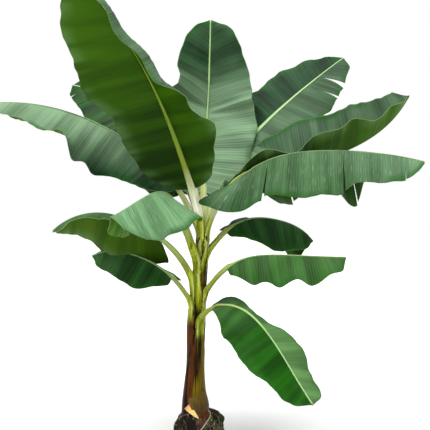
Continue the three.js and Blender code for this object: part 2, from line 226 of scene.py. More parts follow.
def breadth(t, base):
    """How wide a blade is at places t, as a share of its widest. Base is how blunt it starts."""
    at = base + (1 - base) * np.clip(t, 0, 1)
    return np.maximum(np.sin(np.pi * at ** BREADTH["skew"]), 0) ** BREADTH["fullness"]


def walk(leaf):
    """Points along a leaf's stalk and rib, with the onward, sideways and upward directions."""
    s = np.linspace(0, leaf["stalk"] + leaf["blade"], LINE_POINTS)
    on_blade = (s - leaf["stalk"]) / leaf["blade"]
    on_stalk = STALK["share"] * s / leaf["stalk"]
    share = np.where(s < leaf["stalk"], on_stalk, STALK["share"] + (1 - STALK["share"]) * on_blade)
    heading = spread(leaf["heading"], share)
    along = direction(heading, spread(leaf["pitch"], share))
    steps = (along[1:] + along[:-1]) * s[1] / 2
    point = stem_centre(leaf["rise"]) + np.vstack([np.zeros(3), np.cumsum(steps, axis=0)])
    side = direction(heading - 90, 0 * heading)
    return {"s": s, "point": point, "along": along, "side": side, "up": np.cross(side, along)}


def place_at(path, s):
    """The point and directions of a leaf's middle line at distances s from its start."""
    found = {}
    for key in ("point", "along", "side", "up"):
        found[key] = np.stack([np.interp(s, path["s"], path[key][:, k]) for k in range(3)], axis=-1)
        if key != "point":
            found[key] /= np.linalg.norm(found[key], axis=-1, keepdims=True)
    return found


# %% [markdown]
# ## The fourteen leaves
# Young leaves stand high and old ones hang low. Rise is the height where the stalk leaves the stem, and
# stalk and blade are lengths. Heading and pitch are angles at even places from the stalk's start to the
# tip. Girth is how stout the rib is, narrowing how soon it thins, and wax how pale each half is from its
# base to its tip, first beside the rib and then at the margin: partly its waxy bloom, and partly a painted
# sheen that stands for the sky mirrored where the half faces up.
#
# Left and right are as seen from above with the tip ahead. A half's lift is its angle above level across
# the rib, its edge a further angle at the margin, and its sweep how far its veins lean to the tip. Shape
# makes it wider or narrower on the way. A ripple is a height, a count and a start of slow waves. A tear
# is a place along the rib, a depth as a share of the half, and how far it opens. A crease is a place
# where the blade changes its lift at once, and by how much.
# %% Leaf values
LEAVES = [
    {
        "name": "high_left", "rise": 1115, "stalk": 262, "blade": 1165, "girth": 1.9,
        "look": "fresh", "cream": 1, "wax_and_sheen": [[0.45], [0.45]],
        "heading": [228, 226, 228, 227, 226], "pitch": [80, 67, 59, 47, 40],
        "left": {"width": 280, "lift": [0, 0, -10, -24, -28, -28],
                 "edge": [0, 0, -5, -10, -70, -85, -85, -80, -60],
                 "shape": [0.8, 1.1, 1.1, 0.92, 0.94, 0.95, 1, 1, 1], "sweep": [10, 6, 16, 32],
                 "ripple": [24, 5, 0.05]},
        "right": {"width": 300, "lift": [-54, -46, -34, -25],
                  "shape": [0.75, 0.79, 0.91, 0.94, 0.88, 0.82, 1.16, 1.16, 1.14, 1.18, 1.21, 1.31, 1.5],
                  "sweep": [8, 6, 16, 32], "ripple": [14, 4, 0.3], "lobes": 0.07},
    },
    {
        "name": "high_middle", "rise": 1165, "stalk": 190, "blade": 985, "girth": 1.4,
        "look": "fresh", "wax_and_sheen": [[1, 1, 0.9, 0.85, 0.2, 0.1, 0.1], [0.9, 0.85, 0.8, 0.7, 0.15, 0.1, 0.15]],
        "heading": [110, 88, 80, 76, 72], "pitch": [84, 76, 69, 82, 86],
        "left": {"width": 225, "lift": [30, 42, 42, 35], "shape": [1, 1, 1.02, 1.04, 1.1, 1.3],
                 "creases": [[0.5, 16]], "round": 0.2},
        "right": {"width": 255, "lift": [0, 0, 0, 0], "shape": [1, 1.1, 1.06, 0.98, 1.05, 1.2],
                  "creases": [[0.46, 10]], "round": 0.2},
    },
    {
        "name": "right_droop", "rise": 1100, "stalk": 345, "blade": 1000, "girth": 1.15,
        "look": "torn",
        "wax_and_sheen": [[0.25, 0.2, 0.2, 0.25], [0.1, 0, 0.1, 0.15]],
        "heading": [340, 345, 346, 347, 349], "pitch": [74, 46, 9, -5, -15],
        "left": {"width": 245, "lift": [-20, -50, -86, -84, -60, -60, -86, -60, -35, -20, -15],
                 "shape": [0.9, 0.8, 1.05, 0.98, 0.6, 0.9, 1.18, 0.6, 0.8, 1, 1.1],
                 "tears": [[0.28, 0.8, 2], [0.62, 0.8, 2]], "wax_and_sheen": [[0.1], [0.05]]},
        "right": {"width": 250, "base": 0.25,
                  "lift": [30, -45, -76, -76, -75, -74, -73, -72, -70, -68, -62, -56, -52],
                  "shape": [1.1, 1, 0.75, 0.92, 0.98, 1, 0.95, 1, 1.1, 1.4],
                  "sweep": [-60, -34, -12, 4, 6, 10, 20],
                  "tears": [[0.22, 0.9, 9], [0.6, 0.9, 5], [0.9, 0.4, 3]]},
    },
    {
        "name": "right_up", "rise": 1115, "stalk": 268, "blade": 1130, "girth": 1.4,
        "look": "fresh", "wax_and_sheen": [[0, 0.4, 0.5, 0.5], [0, 0.2, 0.3, 0.4]],
        "heading": [0, 2, 4, 6, 8], "pitch": [84, 36, 15, 28, 62],
        "left": {"width": 240, "lift": [60, 70, 80, 80], "shape": [0.5, 1, 1, 1]},
        "right": {"width": 198, "lift": [60, 45, 44, 38, 24], "shape": [0.25, 0.9, 0.72, 1, 1, 1, 1],
                  "ripple": [20, 5, 0.1]},
    },
    {
        "name": "back_right", "rise": 1120, "stalk": 262, "blade": 1070, "girth": 1.35,
        "look": "fresh", "wax_and_sheen": [[0.5, 0, 0, 0], [0.3, 0, 0, 0]],
        "heading": [25, 25, 23, 20, 18], "pitch": [80, 63, 46, 39, 36],
        "left": {"width": 235, "lift": [20, 35, 40, 30]},
        "right": {"width": 240, "lift": [-45, -50, -50, -30], "tears": [[0.82, 0.9], [0.74, 0.35]],
                  "wax_and_sheen": [[0.95, 0.4, 0.25, 0.15], [0.75, 0.3, 0.15, 0.1]]},
    },
    {
        "name": "left", "rise": 1115, "stalk": 285, "blade": 1070, "girth": 1.45,
        "look": "fresh", "wax_and_sheen": [[0.2, 0.8, 1, 0.9], [0, 0, 0.6, 0.7]],
        "heading": [185, 188, 193, 192, 191], "pitch": [70, 56, 32, 15, -6],
        "left": {"width": 260, "lift": [-60, -75, -60, -40, -34], "edge": [0, 0, 0, 0, 0, 0, 80, 0, 0, 0, 0],
                 "shape": [0.7, 1, 1, 1], "sweep": [4, 6, 16, 32], "lobes": 0.06},
        "right": {"width": 210, "lift": [-70, -40, -30, -30]},
    },
    {
        "name": "back_left", "rise": 1125, "stalk": 260, "blade": 960, "girth": 1.3,
        "look": "dark", "wax_and_sheen": [[0.2], [0.1]],
        "heading": [153, 153, 155, 157, 160], "pitch": [78, 63, 46, 34, 12],
        "left": {"width": 220, "lift": [-40, -45, -50, -40], "tears": [[0.9, 0.5, 2]]},
        "right": {"width": 235, "lift": [10, 25, 40, 40]},
    },
    {
        "name": "back", "rise": 1100, "stalk": 260, "blade": 1040, "girth": 1.3,
        "look": "fresh", "wax_and_sheen": [[0.3], [0.2]],
        "heading": [88, 88, 88, 88, 88], "pitch": [78, 60, 42, 18, -12],
        "left": {"width": 205, "lift": [15, 5, -10, -20], "tears": [[0.55, 0.6]]},
        "right": {"width": 205, "lift": [15, 5, -10, -20], "tears": [[0.7, 0.5]]},
    },
    {
        "name": "front_left", "rise": 940, "stalk": 420, "blade": 560, "girth": 1.25,
        "look": "scratched", "narrowing": 5, "wax_and_sheen": [[0.9, 0.9, 0.8, 0.8], [0.7, 0.6, 0.7, 0.7]],
        "heading": [238, 240, 243, 238, 234], "pitch": [62, 46, -8, -22, -20],
        "left": {"width": 225, "base": 0.12, "lift": [0, -50, -60, -40], "sweep": [-50, 0, 14, 30]},
        "right": {"width": 200, "lift": [-60, -60, -60, -50], "tears": [[0.7, 0.5]]},
    },
    {
        "name": "right_upper", "rise": 995, "stalk": 205, "blade": 560, "girth": 1.15,
        "look": "dark", "narrowing": 7, "wax_and_sheen": [[0.2, 0.3, 0.3, 0.2], [0.05]],
        "heading": [8, 14, 20, 20, 22], "pitch": [56, 40, 3, -18, -50],
        "left": {"width": 150, "lift": [0, 0, -50, -85], "shape": [1, 1, 1.3, 2.2]},
        "right": {"width": 170, "base": 0.05, "shape": [0.5, 1, 1.05, 1], "lift": [-50, -65, -65, -50],
                  "sweep": [-20, 6, 16, 28], "tears": [[0.76, 0.6]]},
    },
    {
        "name": "left_middle", "rise": 790, "stalk": 420, "blade": 575, "girth": 1.2,
        "look": "old", "narrowing": 5, "wax_and_sheen": [[0.6], [0.5]],
        "heading": [208, 206, 190, 185, 187], "pitch": [80, 34, 22, -10, -45],
        "left": {"width": 140, "lift": [-20, -15, -10, -10]},
        "right": {"width": 235, "base": 0.26, "lift": [-30, -70, -38, -20], "sweep": [-60, -10, 14, 30]},
    },
    {
        "name": "right_middle", "rise": 750, "stalk": 270, "blade": 620, "girth": 1.25,
        "look": "old", "narrowing": 9, "wax_and_sheen": [[0.4, 0.35, 0.3, 0.3], [0.3, 0.2, 0.2, 0.15]],
        "heading": [338, 344, 349, 349, 348], "pitch": [70, 36, 4, -2, 0],
        "left": {"width": 150, "lift": [-10, -15, -15, -15]},
        "right": {"width": 160, "lift": [-70, -70, -70, -60], "ripple": [12, 4, 0], "lobes": 0.06,
                  "shape": [0.5, 0.79, 1.02, 0.98, 0.95, 1, 1.05, 1.15, 1.4]},
    },
    {
        "name": "left_low", "rise": 725, "stalk": 232, "blade": 450, "girth": 1.05,
        "look": "dark", "narrowing": 4, "wax_and_sheen": [[0.2, 0.2, 0.2, 0.6], [0.1, 0.1, 0.2, 0.7]],
        "heading": [208, 194, 189, 187, 185], "pitch": [64, 44, 26, 10, -28],
        "left": {"width": 158, "lift": [-50, -65, -60, -50], "shape": [0.6, 1.05, 1, 1]},
        "right": {"width": 150, "base": 0.1, "lift": [25, -5, 0, 0], "sweep": [-50, 0, 14, 30]},
    },
    {
        "name": "right_low", "rise": 620, "stalk": 215, "blade": 745, "girth": 1.15,
        "look": "low", "narrowing": 2.6, "wax_and_sheen": [[0.4, 0.1, 0, 0.05], [0.4, 0.1, 0, 0.1]],
        "heading": [296, 324, 328, 328, 324], "pitch": [74, 18, -38, -54, -50],
        "left": {"width": 200, "base": 0.1, "lift": [10, 5, 5, 10],
                 "shape": [1, 1, 0.4, 0.45, 0.9, 1.0, 1.0, 1.25, 1.3], "sweep": [-50, 0, 14, 30],
                 "wax_and_sheen": [[0.1, 0.5, 0.7, 0.7], [0.1, 0.5, 0.6, 0.6]]},
        "right": {"width": 232, "lift": [-10, -20, -20, -20], "sweep": [12, 6, 10, 24],
                  "ripple": [12, 3, 0], "lobes": 0.08},
    },
]
print("leaves:", len(LEAVES))

# %% [markdown]
# ## Blades
# A banana blade is a thin skin pleated by hundreds of straight side veins, which run from the rib to the
# margin. Wind and drying split it along those veins, and the margin waves because it is longer than the
# rib. A subdivided plane bent by modifiers could not follow both halves apart, so each half is a grid of
# rows, one row for each few millimetres of rib. A tear is a row written twice, and the two copies part
# and droop towards the margin.
# %% Rib of a blade
RIB_TIP = 3
NARROWING = 1.8
# The mean hang of both halves, in degrees, at which a blade begins to fold over its rib
FOLD_FROM, FOLD_OVER = 38, 26
# It lies flat at its very base, over this share of its length
FLAT_BASE = 0.03


def folded(leaf, t):
    """How far the blade folds over its rib, from 0 where it lies flat to 1 where both halves hang."""
    hang = -(spread(leaf["left"]["lift"], t) + spread(leaf["right"]["lift"], t)) / 2
    return smooth((hang - FOLD_FROM) / FOLD_OVER) * smooth(np.asarray(t) / FLAT_BASE)


def rib_half_width(leaf, t):
    """Half the rib's width, which thins to the tip, faster in some leaves than in others."""
    thick = STALK["end"] * leaf["girth"]
    return RIB_TIP + (thick - RIB_TIP) * (1 - np.clip(t, 0, 1)) ** leaf.get("narrowing", NARROWING)


# %% Rows of a blade and their tears
ROW_STEP = 6
COLUMNS = 26
# No other row comes nearer to a tear than this share of a row's step, and it parts the rows this far off
TEAR_CLEAR = 0.6
TEAR_REACH = 45
# How far a tear opens where its leaf doesn't say, and how far its two sides droop
TEAR_GAP = (5, 9)
TEAR_DROOP = {"before": (22, 34), "after": (4, 12)}


def row_places(leaf, half):
    """Places along the rib, with the tear that each row belongs to and the side of it."""
    places = np.linspace(0, 1, int(leaf["blade"] / ROW_STEP))
    rows = [(t, 0) for t in places]
    for t, *_ in half.get("tears", []):
        rows = [row for row in rows if abs(row[0] - t) > TEAR_CLEAR * places[1]]
        rows += [(t, -1), (t, 1)]
    rows.sort()
    return np.array([t for t, _ in rows]), np.array([side for _, side in rows])


def torn(points, leaf, half, t, side_of_tear, u, along, seed):
    """Part and droop the blade on both sides of each tear, more towards the margin."""
    dice = random.Random(seed)
    for place, depth, *opening in half.get("tears", []):
        away = (t - place) * leaf["blade"]
        before = np.where(side_of_tear != 0, side_of_tear < 0, away < 0)
        near = np.exp(-np.abs(away) / TEAR_REACH)[:, None]
        open_share = np.clip((u - (1 - depth)) / depth, 0, 1)
        gap = (opening or [dice.uniform(*TEAR_GAP)])[0] * depth
        drops = [dice.uniform(*TEAR_DROOP[side]) * depth for side in ("before", "after")]
        shift = np.where(before, -gap, gap)[:, None] * near * open_share
        drop = np.where(before, *drops)[:, None] * near * open_share ** 2
        points = points + along[:, None, :] * shift[..., None]
        points[..., 2] -= drop
    return points


# %% Outline of half a blade
BASE_ROUND, TIP_ROUND = 0.035, 0.08
BASE_WIDTH, TIP_WIDTH = 0.35, 0.15
MARGIN_WAVE = 70
MARGIN_LOBE = {"length": 150, "share": 0.035, "fine": 0.018}
# How much of the rib's half width the blade leaves free, at its base and further on
BESIDE_RIB = {"base": 0.85, "less": 0.4, "over": 0.3, "most": 0.6}


def rounded_end(distance, length, width):
    """Rise as a circle does from an end's width to 1 over a length."""
    return width + (1 - width) * np.sqrt(1 - (1 - np.clip(distance / length, 0, 1)) ** 2)


def blade_half_width(half, t, s, seed):
    """How wide half a blade is at each row, with round ends and uneven lobes."""
    fullness = breadth(t, half.get("base", BREADTH["base"])) * spread(half.get("shape", [1]), t)
    share = np.maximum(fullness, BREADTH["least"]) * rounded_end(t, BASE_ROUND, BASE_WIDTH)
    share = share * rounded_end(1 - t, half.get("round", TIP_ROUND), TIP_WIDTH)
    lobes = MARGIN_LOBE["fine"] * wander(s / MARGIN_WAVE * 2, seed)
    lobes = lobes + half.get("lobes", MARGIN_LOBE["share"]) * wander(s / MARGIN_LOBE["length"] * 2, seed + 7)
    return half["width"] * share * (1 + lobes)


def across_half(leaf, t, width):
    """Places of the columns, from 0 at the rib's middle to 1 at the margin."""
    free = BESIDE_RIB["base"] - BESIDE_RIB["less"] * smooth(t / BESIDE_RIB["over"])
    beside_rib = 1 + free * rib_half_width(leaf, t) * (1 - folded(leaf, t))
    inner = np.minimum(beside_rib / width, BESIDE_RIB["most"])[:, None]
    even = np.arange(COLUMNS + 1) / COLUMNS
    return inner + (1 - inner) * even


# %% Bends and waves of half a blade
CREASE = {"sharp": 0.012, "fade": 0.3}
TIP_TURN = {"from": 0.9, "over": 0.1, "share": 0.55}
PLEAT = {"spacing": 30, "height": 1.5, "from_rib": 0.3}
BILLOW = {"length": 170, "height": 14, "slant": 0.5, "less": 0.4}
MARGIN_HEIGHT = 7
FRILL = {"length": 26, "height": 2.5}


def half_angles(half, t, middle):
    """The lift of each stretch between columns and the sweep of each row, in radians."""
    lift = spread(half["lift"], t)
    for place, turn in half.get("creases", []):
        after = t - place
        lift = lift + turn * smooth(after / CREASE["sharp"] + 0.5) * (1 - smooth(after / CREASE["fade"]))
    past_start = np.maximum(0, (middle - EDGE_START) / (1 - EDGE_START))
    edge = spread(half.get("edge", [0]), t)[:, None] * past_start
    straighten = 1 - TIP_TURN["share"] * smooth((t - TIP_TURN["from"]) / TIP_TURN["over"])
    sweep = spread(half.get("sweep", SWEEP), t) * straighten
    return np.radians(lift[:, None] + edge), np.radians(sweep)[:, None, None]


def half_waves(half, t, s, u, width, seed):
    """How far each point moves up, and along the blade's own normal."""
    amount, waves, phase = half.get("ripple", [0, 0, 0])
    ripple = amount * np.sin(2 * np.pi * (waves * t + phase)) * breadth(t, BREADTH["base"])
    wave = ripple[:, None] * u**2 + MARGIN_HEIGHT * (wander(s / MARGIN_WAVE, seed + 1)[:, None]) * u**3
    wave = wave + FRILL["height"] * wander(s / FRILL["length"], seed + 2)[:, None] * u**5
    pleats = PLEAT["height"] * wander(s / PLEAT["spacing"] * 2, seed + 3)[:, None]
    slant = s[:, None] + BILLOW["slant"] * u * width[:, None]
    billow = BILLOW["height"] * wander(slant / BILLOW["length"] * 2, seed + 5)
    return wave, pleats * smooth(u / PLEAT["from_rib"]) + billow * smooth(u) * (1 - BILLOW["less"] * u)


# %% Points of half a blade
def half_blade(leaf, key, path, seed):
    """The points of one half of a blade, with its map, its margin and wax values and its tears."""
    half = leaf[key]
    sign = -1 if key == "left" else 1
    t, side_of_tear = row_places(leaf, half)
    s = leaf["stalk"] + leaf["blade"] * t
    at = place_at(path, s)
    width = blade_half_width(half, t, s, seed)
    u = across_half(leaf, t, width)
    stops = np.concatenate([np.zeros((len(t), 1)), u], axis=1)
    middle = np.concatenate([stops[:, :1], (u[:, 1:] + u[:, :-1]) / 2], axis=1)
    angle, sweep = half_angles(half, t, middle)
    cos, sin = np.cos(angle)[..., None], np.sin(angle)[..., None]
    side, up, along = at["side"][:, None, :], at["up"][:, None, :], at["along"][:, None, :]
    step = (sign * cos * side + sin * up) * np.cos(sweep) + along * np.sin(sweep)
    length = width[:, None] * np.diff(stops, axis=1)
    points = at["point"][:, None, :] + np.cumsum(step * length[..., None], axis=1)
    normal = cos * up - sign * sin * side
    wave, pleat = half_waves(half, t, s, u, width, seed)
    points = points + up * wave[..., None] + normal * pleat[..., None]
    points = torn(points, leaf, half, t, side_of_tear, u, at["along"], seed + 4)
    flat = np.stack([sign * u * width[:, None], np.broadcast_to(s[:, None], u.shape)], -1) / 1000
    # The wax value paints the upper side paler: partly its waxy bloom, partly painted sheen of the sky
    near, far = half.get("wax_and_sheen", leaf["wax_and_sheen"])
    values = {"margin": (1 - u) * width[:, None],
              "wax_and_sheen": spread(near, t)[:, None] * (1 - u) + spread(far, t)[:, None] * u}
    return points, flat, values, side_of_tear


# %% Grids to meshes
def grid_faces(rows, columns, first=0, flip=False, skip=()):
    """Four-sided faces of a grid of points, row by row."""
    faces = []
    for i in range(rows - 1):
        if i in skip:
            continue
        for j in range(columns - 1):
            a = first + i * columns + j
            face = (a, a + 1, a + columns + 1, a + columns)
            faces.append(face[::-1] if flip else face)
    return faces


def tube_faces(rows, sides, flip=False):
    """Faces round a tube of closed rows, then a cap at each end."""
    faces = []
    for i in range(rows - 1):
        for j in range(sides):
            a, b = i * sides + j, i * sides + (j + 1) % sides
            faces.append((a, a + sides, b + sides, b) if flip else (a, b, b + sides, a + sides))
    first, last = tuple(range(sides)), tuple(range((rows - 1) * sides, rows * sides))
    return faces + ([first, last[::-1]] if flip else [first[::-1], last])


def make_piece(name, points, faces, materials, maps=None, values=None):
    """A smooth mesh object in metres, with its materials, its map and its values at each point."""
    mesh = bpy.data.meshes.new(name)
    mesh.from_pydata((np.asarray(points) / 1000).tolist(), [], faces)
    for material in materials:
        mesh.materials.append(material)
    mesh.polygons.foreach_set("use_smooth", [True] * len(faces))
    for key, flat in (maps or {}).items():
        corner = np.empty(len(mesh.loops), int)
        mesh.loops.foreach_get("vertex_index", corner)
        mesh.uv_layers.new(name=key).data.foreach_set("uv", np.asarray(flat)[corner].ravel())
    for key, value in (values or {}).items():
        attribute = mesh.attributes.new(key, "FLOAT", "POINT")
        attribute.data.foreach_set("value", np.asarray(value, float).ravel())
    piece = bpy.data.objects.new(name, mesh)
    bpy.context.scene.collection.objects.link(piece)
    return piece


# %% [markdown]
# ## Leaf surfaces
# The upper side of a banana leaf is a dark green, waxy skin that mirrors the sky as a pale haze, painted
# into its colour together with its wax bloom, and its veins show as fine parallel lines. The underside is
# duller and a yellower green because light comes through it, and that light is painted into its colour.
# Both are skins of living cells under a film of wax, with an IOR near 1.45 and little shine.
# Real veins stand 6 to 10 mm apart. They are drawn 12.5 mm apart, so that they still show from across a
# room.
# %% Veins and painted fold shade
# The map that lies flat on a blade, in metres: X across from the rib and Y along it from the stem
VEIN_MAP = "VeinMap"
VEIN_SPACING = 12.5
# A wave texture at scale 1 repeats every 314 thousandths of its unit
WAVE_SCALE = 314
WAXY_IOR = 1.45


def drawn_noise(tree, place, sizes, detail, **inputs):
    """Noise over a place, with marks of these real sizes in millimetres along its X, Y and Z."""
    per_metre = tuple(1000 / size for size in sizes)
    drawn = add_node(tree, "Mapping", {"Vector": place, "Scale": per_metre})
    return add_node(tree, "TexNoise", {"Vector": drawn, "Scale": 1.0, "Detail": detail, **inputs})


def vein_lines(tree, spacing):
    """Side veins at a spacing in millimetres: even waves, made uneven by noise drawn out along them."""
    flat = add_node(tree, "UVMap", uv_map=VEIN_MAP)
    soft = drawn_noise(tree, flat, (500, spacing, 1000), 2.0, Roughness=0.6)
    even = add_node(tree, "TexWave", {"Vector": flat, "Scale": WAVE_SCALE / spacing, "Distortion": 1.5,
                                      "Detail": 1.0, "Detail Scale": 0.6}, bands_direction="Y")
    return add_node(tree, "Math", {0: even.outputs["Fac"], 1: 0.22, 2: soft}, operation="MULTIPLY_ADD")


def painted_fold_shade(tree):
    """The leaf's flat map, and painted shade of the blade's broad folds: soft bands about 80 mm apart along
    the rib, lighter and darker by turns.
    """
    flat = add_node(tree, "UVMap", uv_map=VEIN_MAP)
    swell = drawn_noise(tree, flat, (770, 83, 1000), 1.5)
    return flat, add_node(tree, "MapRange", {"Value": swell, "From Min": 0.38, "From Max": 0.64},
                          interpolation_type="SMOOTHSTEP")


def along_leaf(tree, first, last):
    """Rise from 0 to 1 between two distances along the leaf, in metres from the stem."""
    flat = add_node(tree, "UVMap", uv_map=VEIN_MAP)
    split = add_node(tree, "SeparateXYZ", {"Vector": flat})
    return add_node(tree, "MapRange", {"Value": split.outputs["Y"], "From Min": first, "From Max": last},
                    interpolation_type="SMOOTHSTEP")


def finish_surface(tree, surface, tone, roughness, shine, relief=None):
    """Link the last colour into a surface, and its relief: a height pattern, a strength and a depth."""
    tree.links.new(tone.outputs[2], surface.inputs["Base Color"])
    surface.inputs["Roughness"].default_value = roughness
    surface.inputs["Specular IOR Level"].default_value = shine
    if relief:
        height, strength, depth = relief
        bump = add_node(tree, "Bump", {"Height": height, "Strength": strength, "Distance": depth})
        tree.links.new(bump.outputs[0], surface.inputs["Normal"])


# %% Wax and painted sheen, scratches, margin and rib highlight of the upper side
CLOUD = 200
# Distances from the margin in millimetres: where the wax has worn off, and the dry rim
WORN_MARGIN, DRY_RIM = (42.0, 4.0), (1.5, 4.0)
# Distances from the rib in metres where the painted highlight along the fold beside the rib ends
RIB_HIGHLIGHT = (0.002, 0.006)


def wax_and_sheen_share(tree, light, cloud):
    """How much pale wax and painted sheen of the sky lie on the skin: by place on the leaf, in clouds, and
    in stripes beside the veins and the painted fold bands.
    """
    wax_and_sheen = add_node(tree, "Attribute", attribute_name="wax_and_sheen")
    patchy = add_node(tree, "Math", {0: cloud, 1: 0.3, 2: -0.15}, operation="MULTIPLY_ADD")
    thick = add_node(tree, "Math", {0: wax_and_sheen.outputs["Fac"], 1: patchy}, operation="ADD")
    striped = add_node(tree, "Math", {0: light, 1: 0.75, 2: 0.58}, operation="MULTIPLY_ADD")
    return add_node(tree, "Math", {0: thick, 1: striped}, operation="MULTIPLY", use_clamp=True)


def scratches(tree, flat, tone, first, most):
    """Short pale scratches along the veins, where the wax was rubbed off. A lower first gives more."""
    spots = drawn_noise(tree, flat, (71, 2.4, 1000), 3.0)
    scratch = add_node(tree, "MapRange", {"Value": spots, "From Min": first, "From Max": first + 0.12,
                                          "To Max": most})
    return add_node(tree, "Mix", {0: scratch, 6: tone, 7: linear("#b9cdae")}, data_type="RGBA")


def margin_and_rib_highlight(tree, flat, tone, cloud):
    """Bare green near the margin, a dry rim along it, and a painted highlight along the fold beside the rib.
    """
    margin = add_node(tree, "Attribute", attribute_name="margin")
    near = add_node(tree, "MapRange", {"Value": margin.outputs["Fac"], "From Min": WORN_MARGIN[0],
                                       "From Max": WORN_MARGIN[1]}, interpolation_type="SMOOTHSTEP")
    clear = add_node(tree, "MapRange", {"Value": cloud, "From Min": 0.42, "From Max": 0.6, "To Max": 0.75})
    bare = add_node(tree, "Math", {0: near, 1: clear}, operation="MULTIPLY")
    greener = add_node(tree, "Mix", {0: bare, 6: tone, 7: linear("#1b4d12")}, data_type="RGBA")
    rim = add_node(tree, "MapRange", {"Value": margin.outputs["Fac"], "From Min": DRY_RIM[0],
                                      "From Max": DRY_RIM[1], "To Min": 0.5, "To Max": 0.0})
    edged = add_node(tree, "Mix", {0: rim, 6: greener, 7: linear("#4a6a2c")}, data_type="RGBA")
    split = add_node(tree, "SeparateXYZ", {"Vector": flat})
    off_rib = add_node(tree, "Math", {0: split.outputs["X"]}, operation="ABSOLUTE")
    rib_highlight = add_node(tree, "MapRange", {"Value": off_rib, "From Min": RIB_HIGHLIGHT[0], "From Max": RIB_HIGHLIGHT[1],
                                       "To Min": 0.6, "To Max": 0.0})
    return add_node(tree, "Mix", {0: rib_highlight, 6: edged, 7: linear("#9ab98a")}, data_type="RGBA")


# %% Leaf upper side
def upper_side(name, deep, fresh, pale, scratched=0.0, first=0.56, veined=0.4):
    """The waxy upper side: a dark green, lighter and darker in bands of painted fold shade, hazed with a
    paler one where the wax film is thick and where a sheen of the sky is painted on, and with a soft sheen
    rather than a shine."""
    material, tree, surface = new_material(name)
    veins = vein_lines(tree, VEIN_SPACING)
    lines = add_node(tree, "MapRange", {"Value": veins, "From Min": 0.45, "From Max": 0.72})
    flat, fold_shade = painted_fold_shade(tree)
    shade = add_node(tree, "Math", {0: lines, 1: veined}, operation="MULTIPLY")
    light = add_node(tree, "Math", {0: fold_shade, 1: 0.6, 2: shade}, operation="MULTIPLY_ADD")
    tone = add_node(tree, "Mix", {0: light, 6: linear(deep), 7: linear(fresh)}, data_type="RGBA")
    place = add_node(tree, "TexCoord").outputs["Object"]
    cloud = add_node(tree, "TexNoise", {"Vector": place, "Scale": 1000 / CLOUD, "Detail": 2.0})
    sheen_and_wax = wax_and_sheen_share(tree, light, cloud)
    waxy_and_sheened = add_node(tree, "Mix", {0: sheen_and_wax, 6: tone, 7: linear(pale)}, data_type="RGBA")
    if scratched:
        waxy_and_sheened = scratches(tree, flat, waxy_and_sheened, first, scratched)
    edged = margin_and_rib_highlight(tree, flat, waxy_and_sheened, cloud)
    finish_surface(tree, surface, edged, 0.42, 0.08, relief=(veins, 0.5, 0.0025))
    surface.inputs["IOR"].default_value = WAXY_IOR
    return material


# %% Leaf underside
UNDER_VEIN_SPACING = 20.0
# Distances from the stem in metres between which the underside is painted brighter, for the light that comes
# through it
BRIGHTENS = (0.35, 1.4)
# Distances from the margin in millimetres: the pale haze near it, and the dry rim
HAZY_MARGIN, UNDER_RIM = (80.0, 0.0), (1.5, 4.5)


def under_side(name, shaded, bright):
    """The dull yellow-green underside, mixed from a shaded to a bright green by painted light: brighter to
    the tip and on the half that more light comes through, lighter and darker in bands of painted fold shade,
    and with a faint haze near the margin."""
    material, tree, surface = new_material(name)
    veins = vein_lines(tree, UNDER_VEIN_SPACING)
    lines = add_node(tree, "MapRange", {"Value": veins, "From Min": 0.3, "From Max": 0.7})
    outward = along_leaf(tree, *BRIGHTENS)
    # Painted light: the underside is painted brighter towards the tip, for the light coming through it
    thin = add_node(tree, "Math", {0: lines, 1: 0.12, 2: outward}, operation="MULTIPLY_ADD")
    flat, fold_shade = painted_fold_shade(tree)
    split = add_node(tree, "SeparateXYZ", {"Vector": flat})
    lit_half = add_node(tree, "MapRange", {"Value": split.outputs["X"], "From Min": 0.02, "From Max": -0.08,
                                           "To Min": -0.22, "To Max": 0.12}, interpolation_type="SMOOTHSTEP")
    uneven = add_node(tree, "Math", {0: fold_shade, 1: 0.45, 2: lit_half}, operation="MULTIPLY_ADD")
    light = add_node(tree, "Math", {0: thin, 1: uneven}, operation="ADD", use_clamp=True)
    tone = add_node(tree, "Mix", {0: light, 6: linear(shaded), 7: linear(bright)}, data_type="RGBA")
    margin = add_node(tree, "Attribute", attribute_name="margin")
    near = add_node(tree, "MapRange", {"Value": margin.outputs["Fac"], "From Min": HAZY_MARGIN[0],
                                       "From Max": HAZY_MARGIN[1], "To Max": 0.25},
                    interpolation_type="SMOOTHSTEP")
    hazy = add_node(tree, "Math", {0: near, 1: fold_shade}, operation="MULTIPLY")
    tone = add_node(tree, "Mix", {0: hazy, 6: tone, 7: linear("#6c8f60")}, data_type="RGBA")
    rim = add_node(tree, "MapRange", {"Value": margin.outputs["Fac"], "From Min": UNDER_RIM[0],
                                      "From Max": UNDER_RIM[1], "To Min": 0.25, "To Max": 0.0})
    edged = add_node(tree, "Mix", {0: rim, 6: tone, 7: linear("#5f5a20")}, data_type="RGBA")
    finish_surface(tree, surface, edged, 0.6, 0.08, relief=(veins, 0.4, 0.0022))
    surface.inputs["IOR"].default_value = WAXY_IOR
    return material


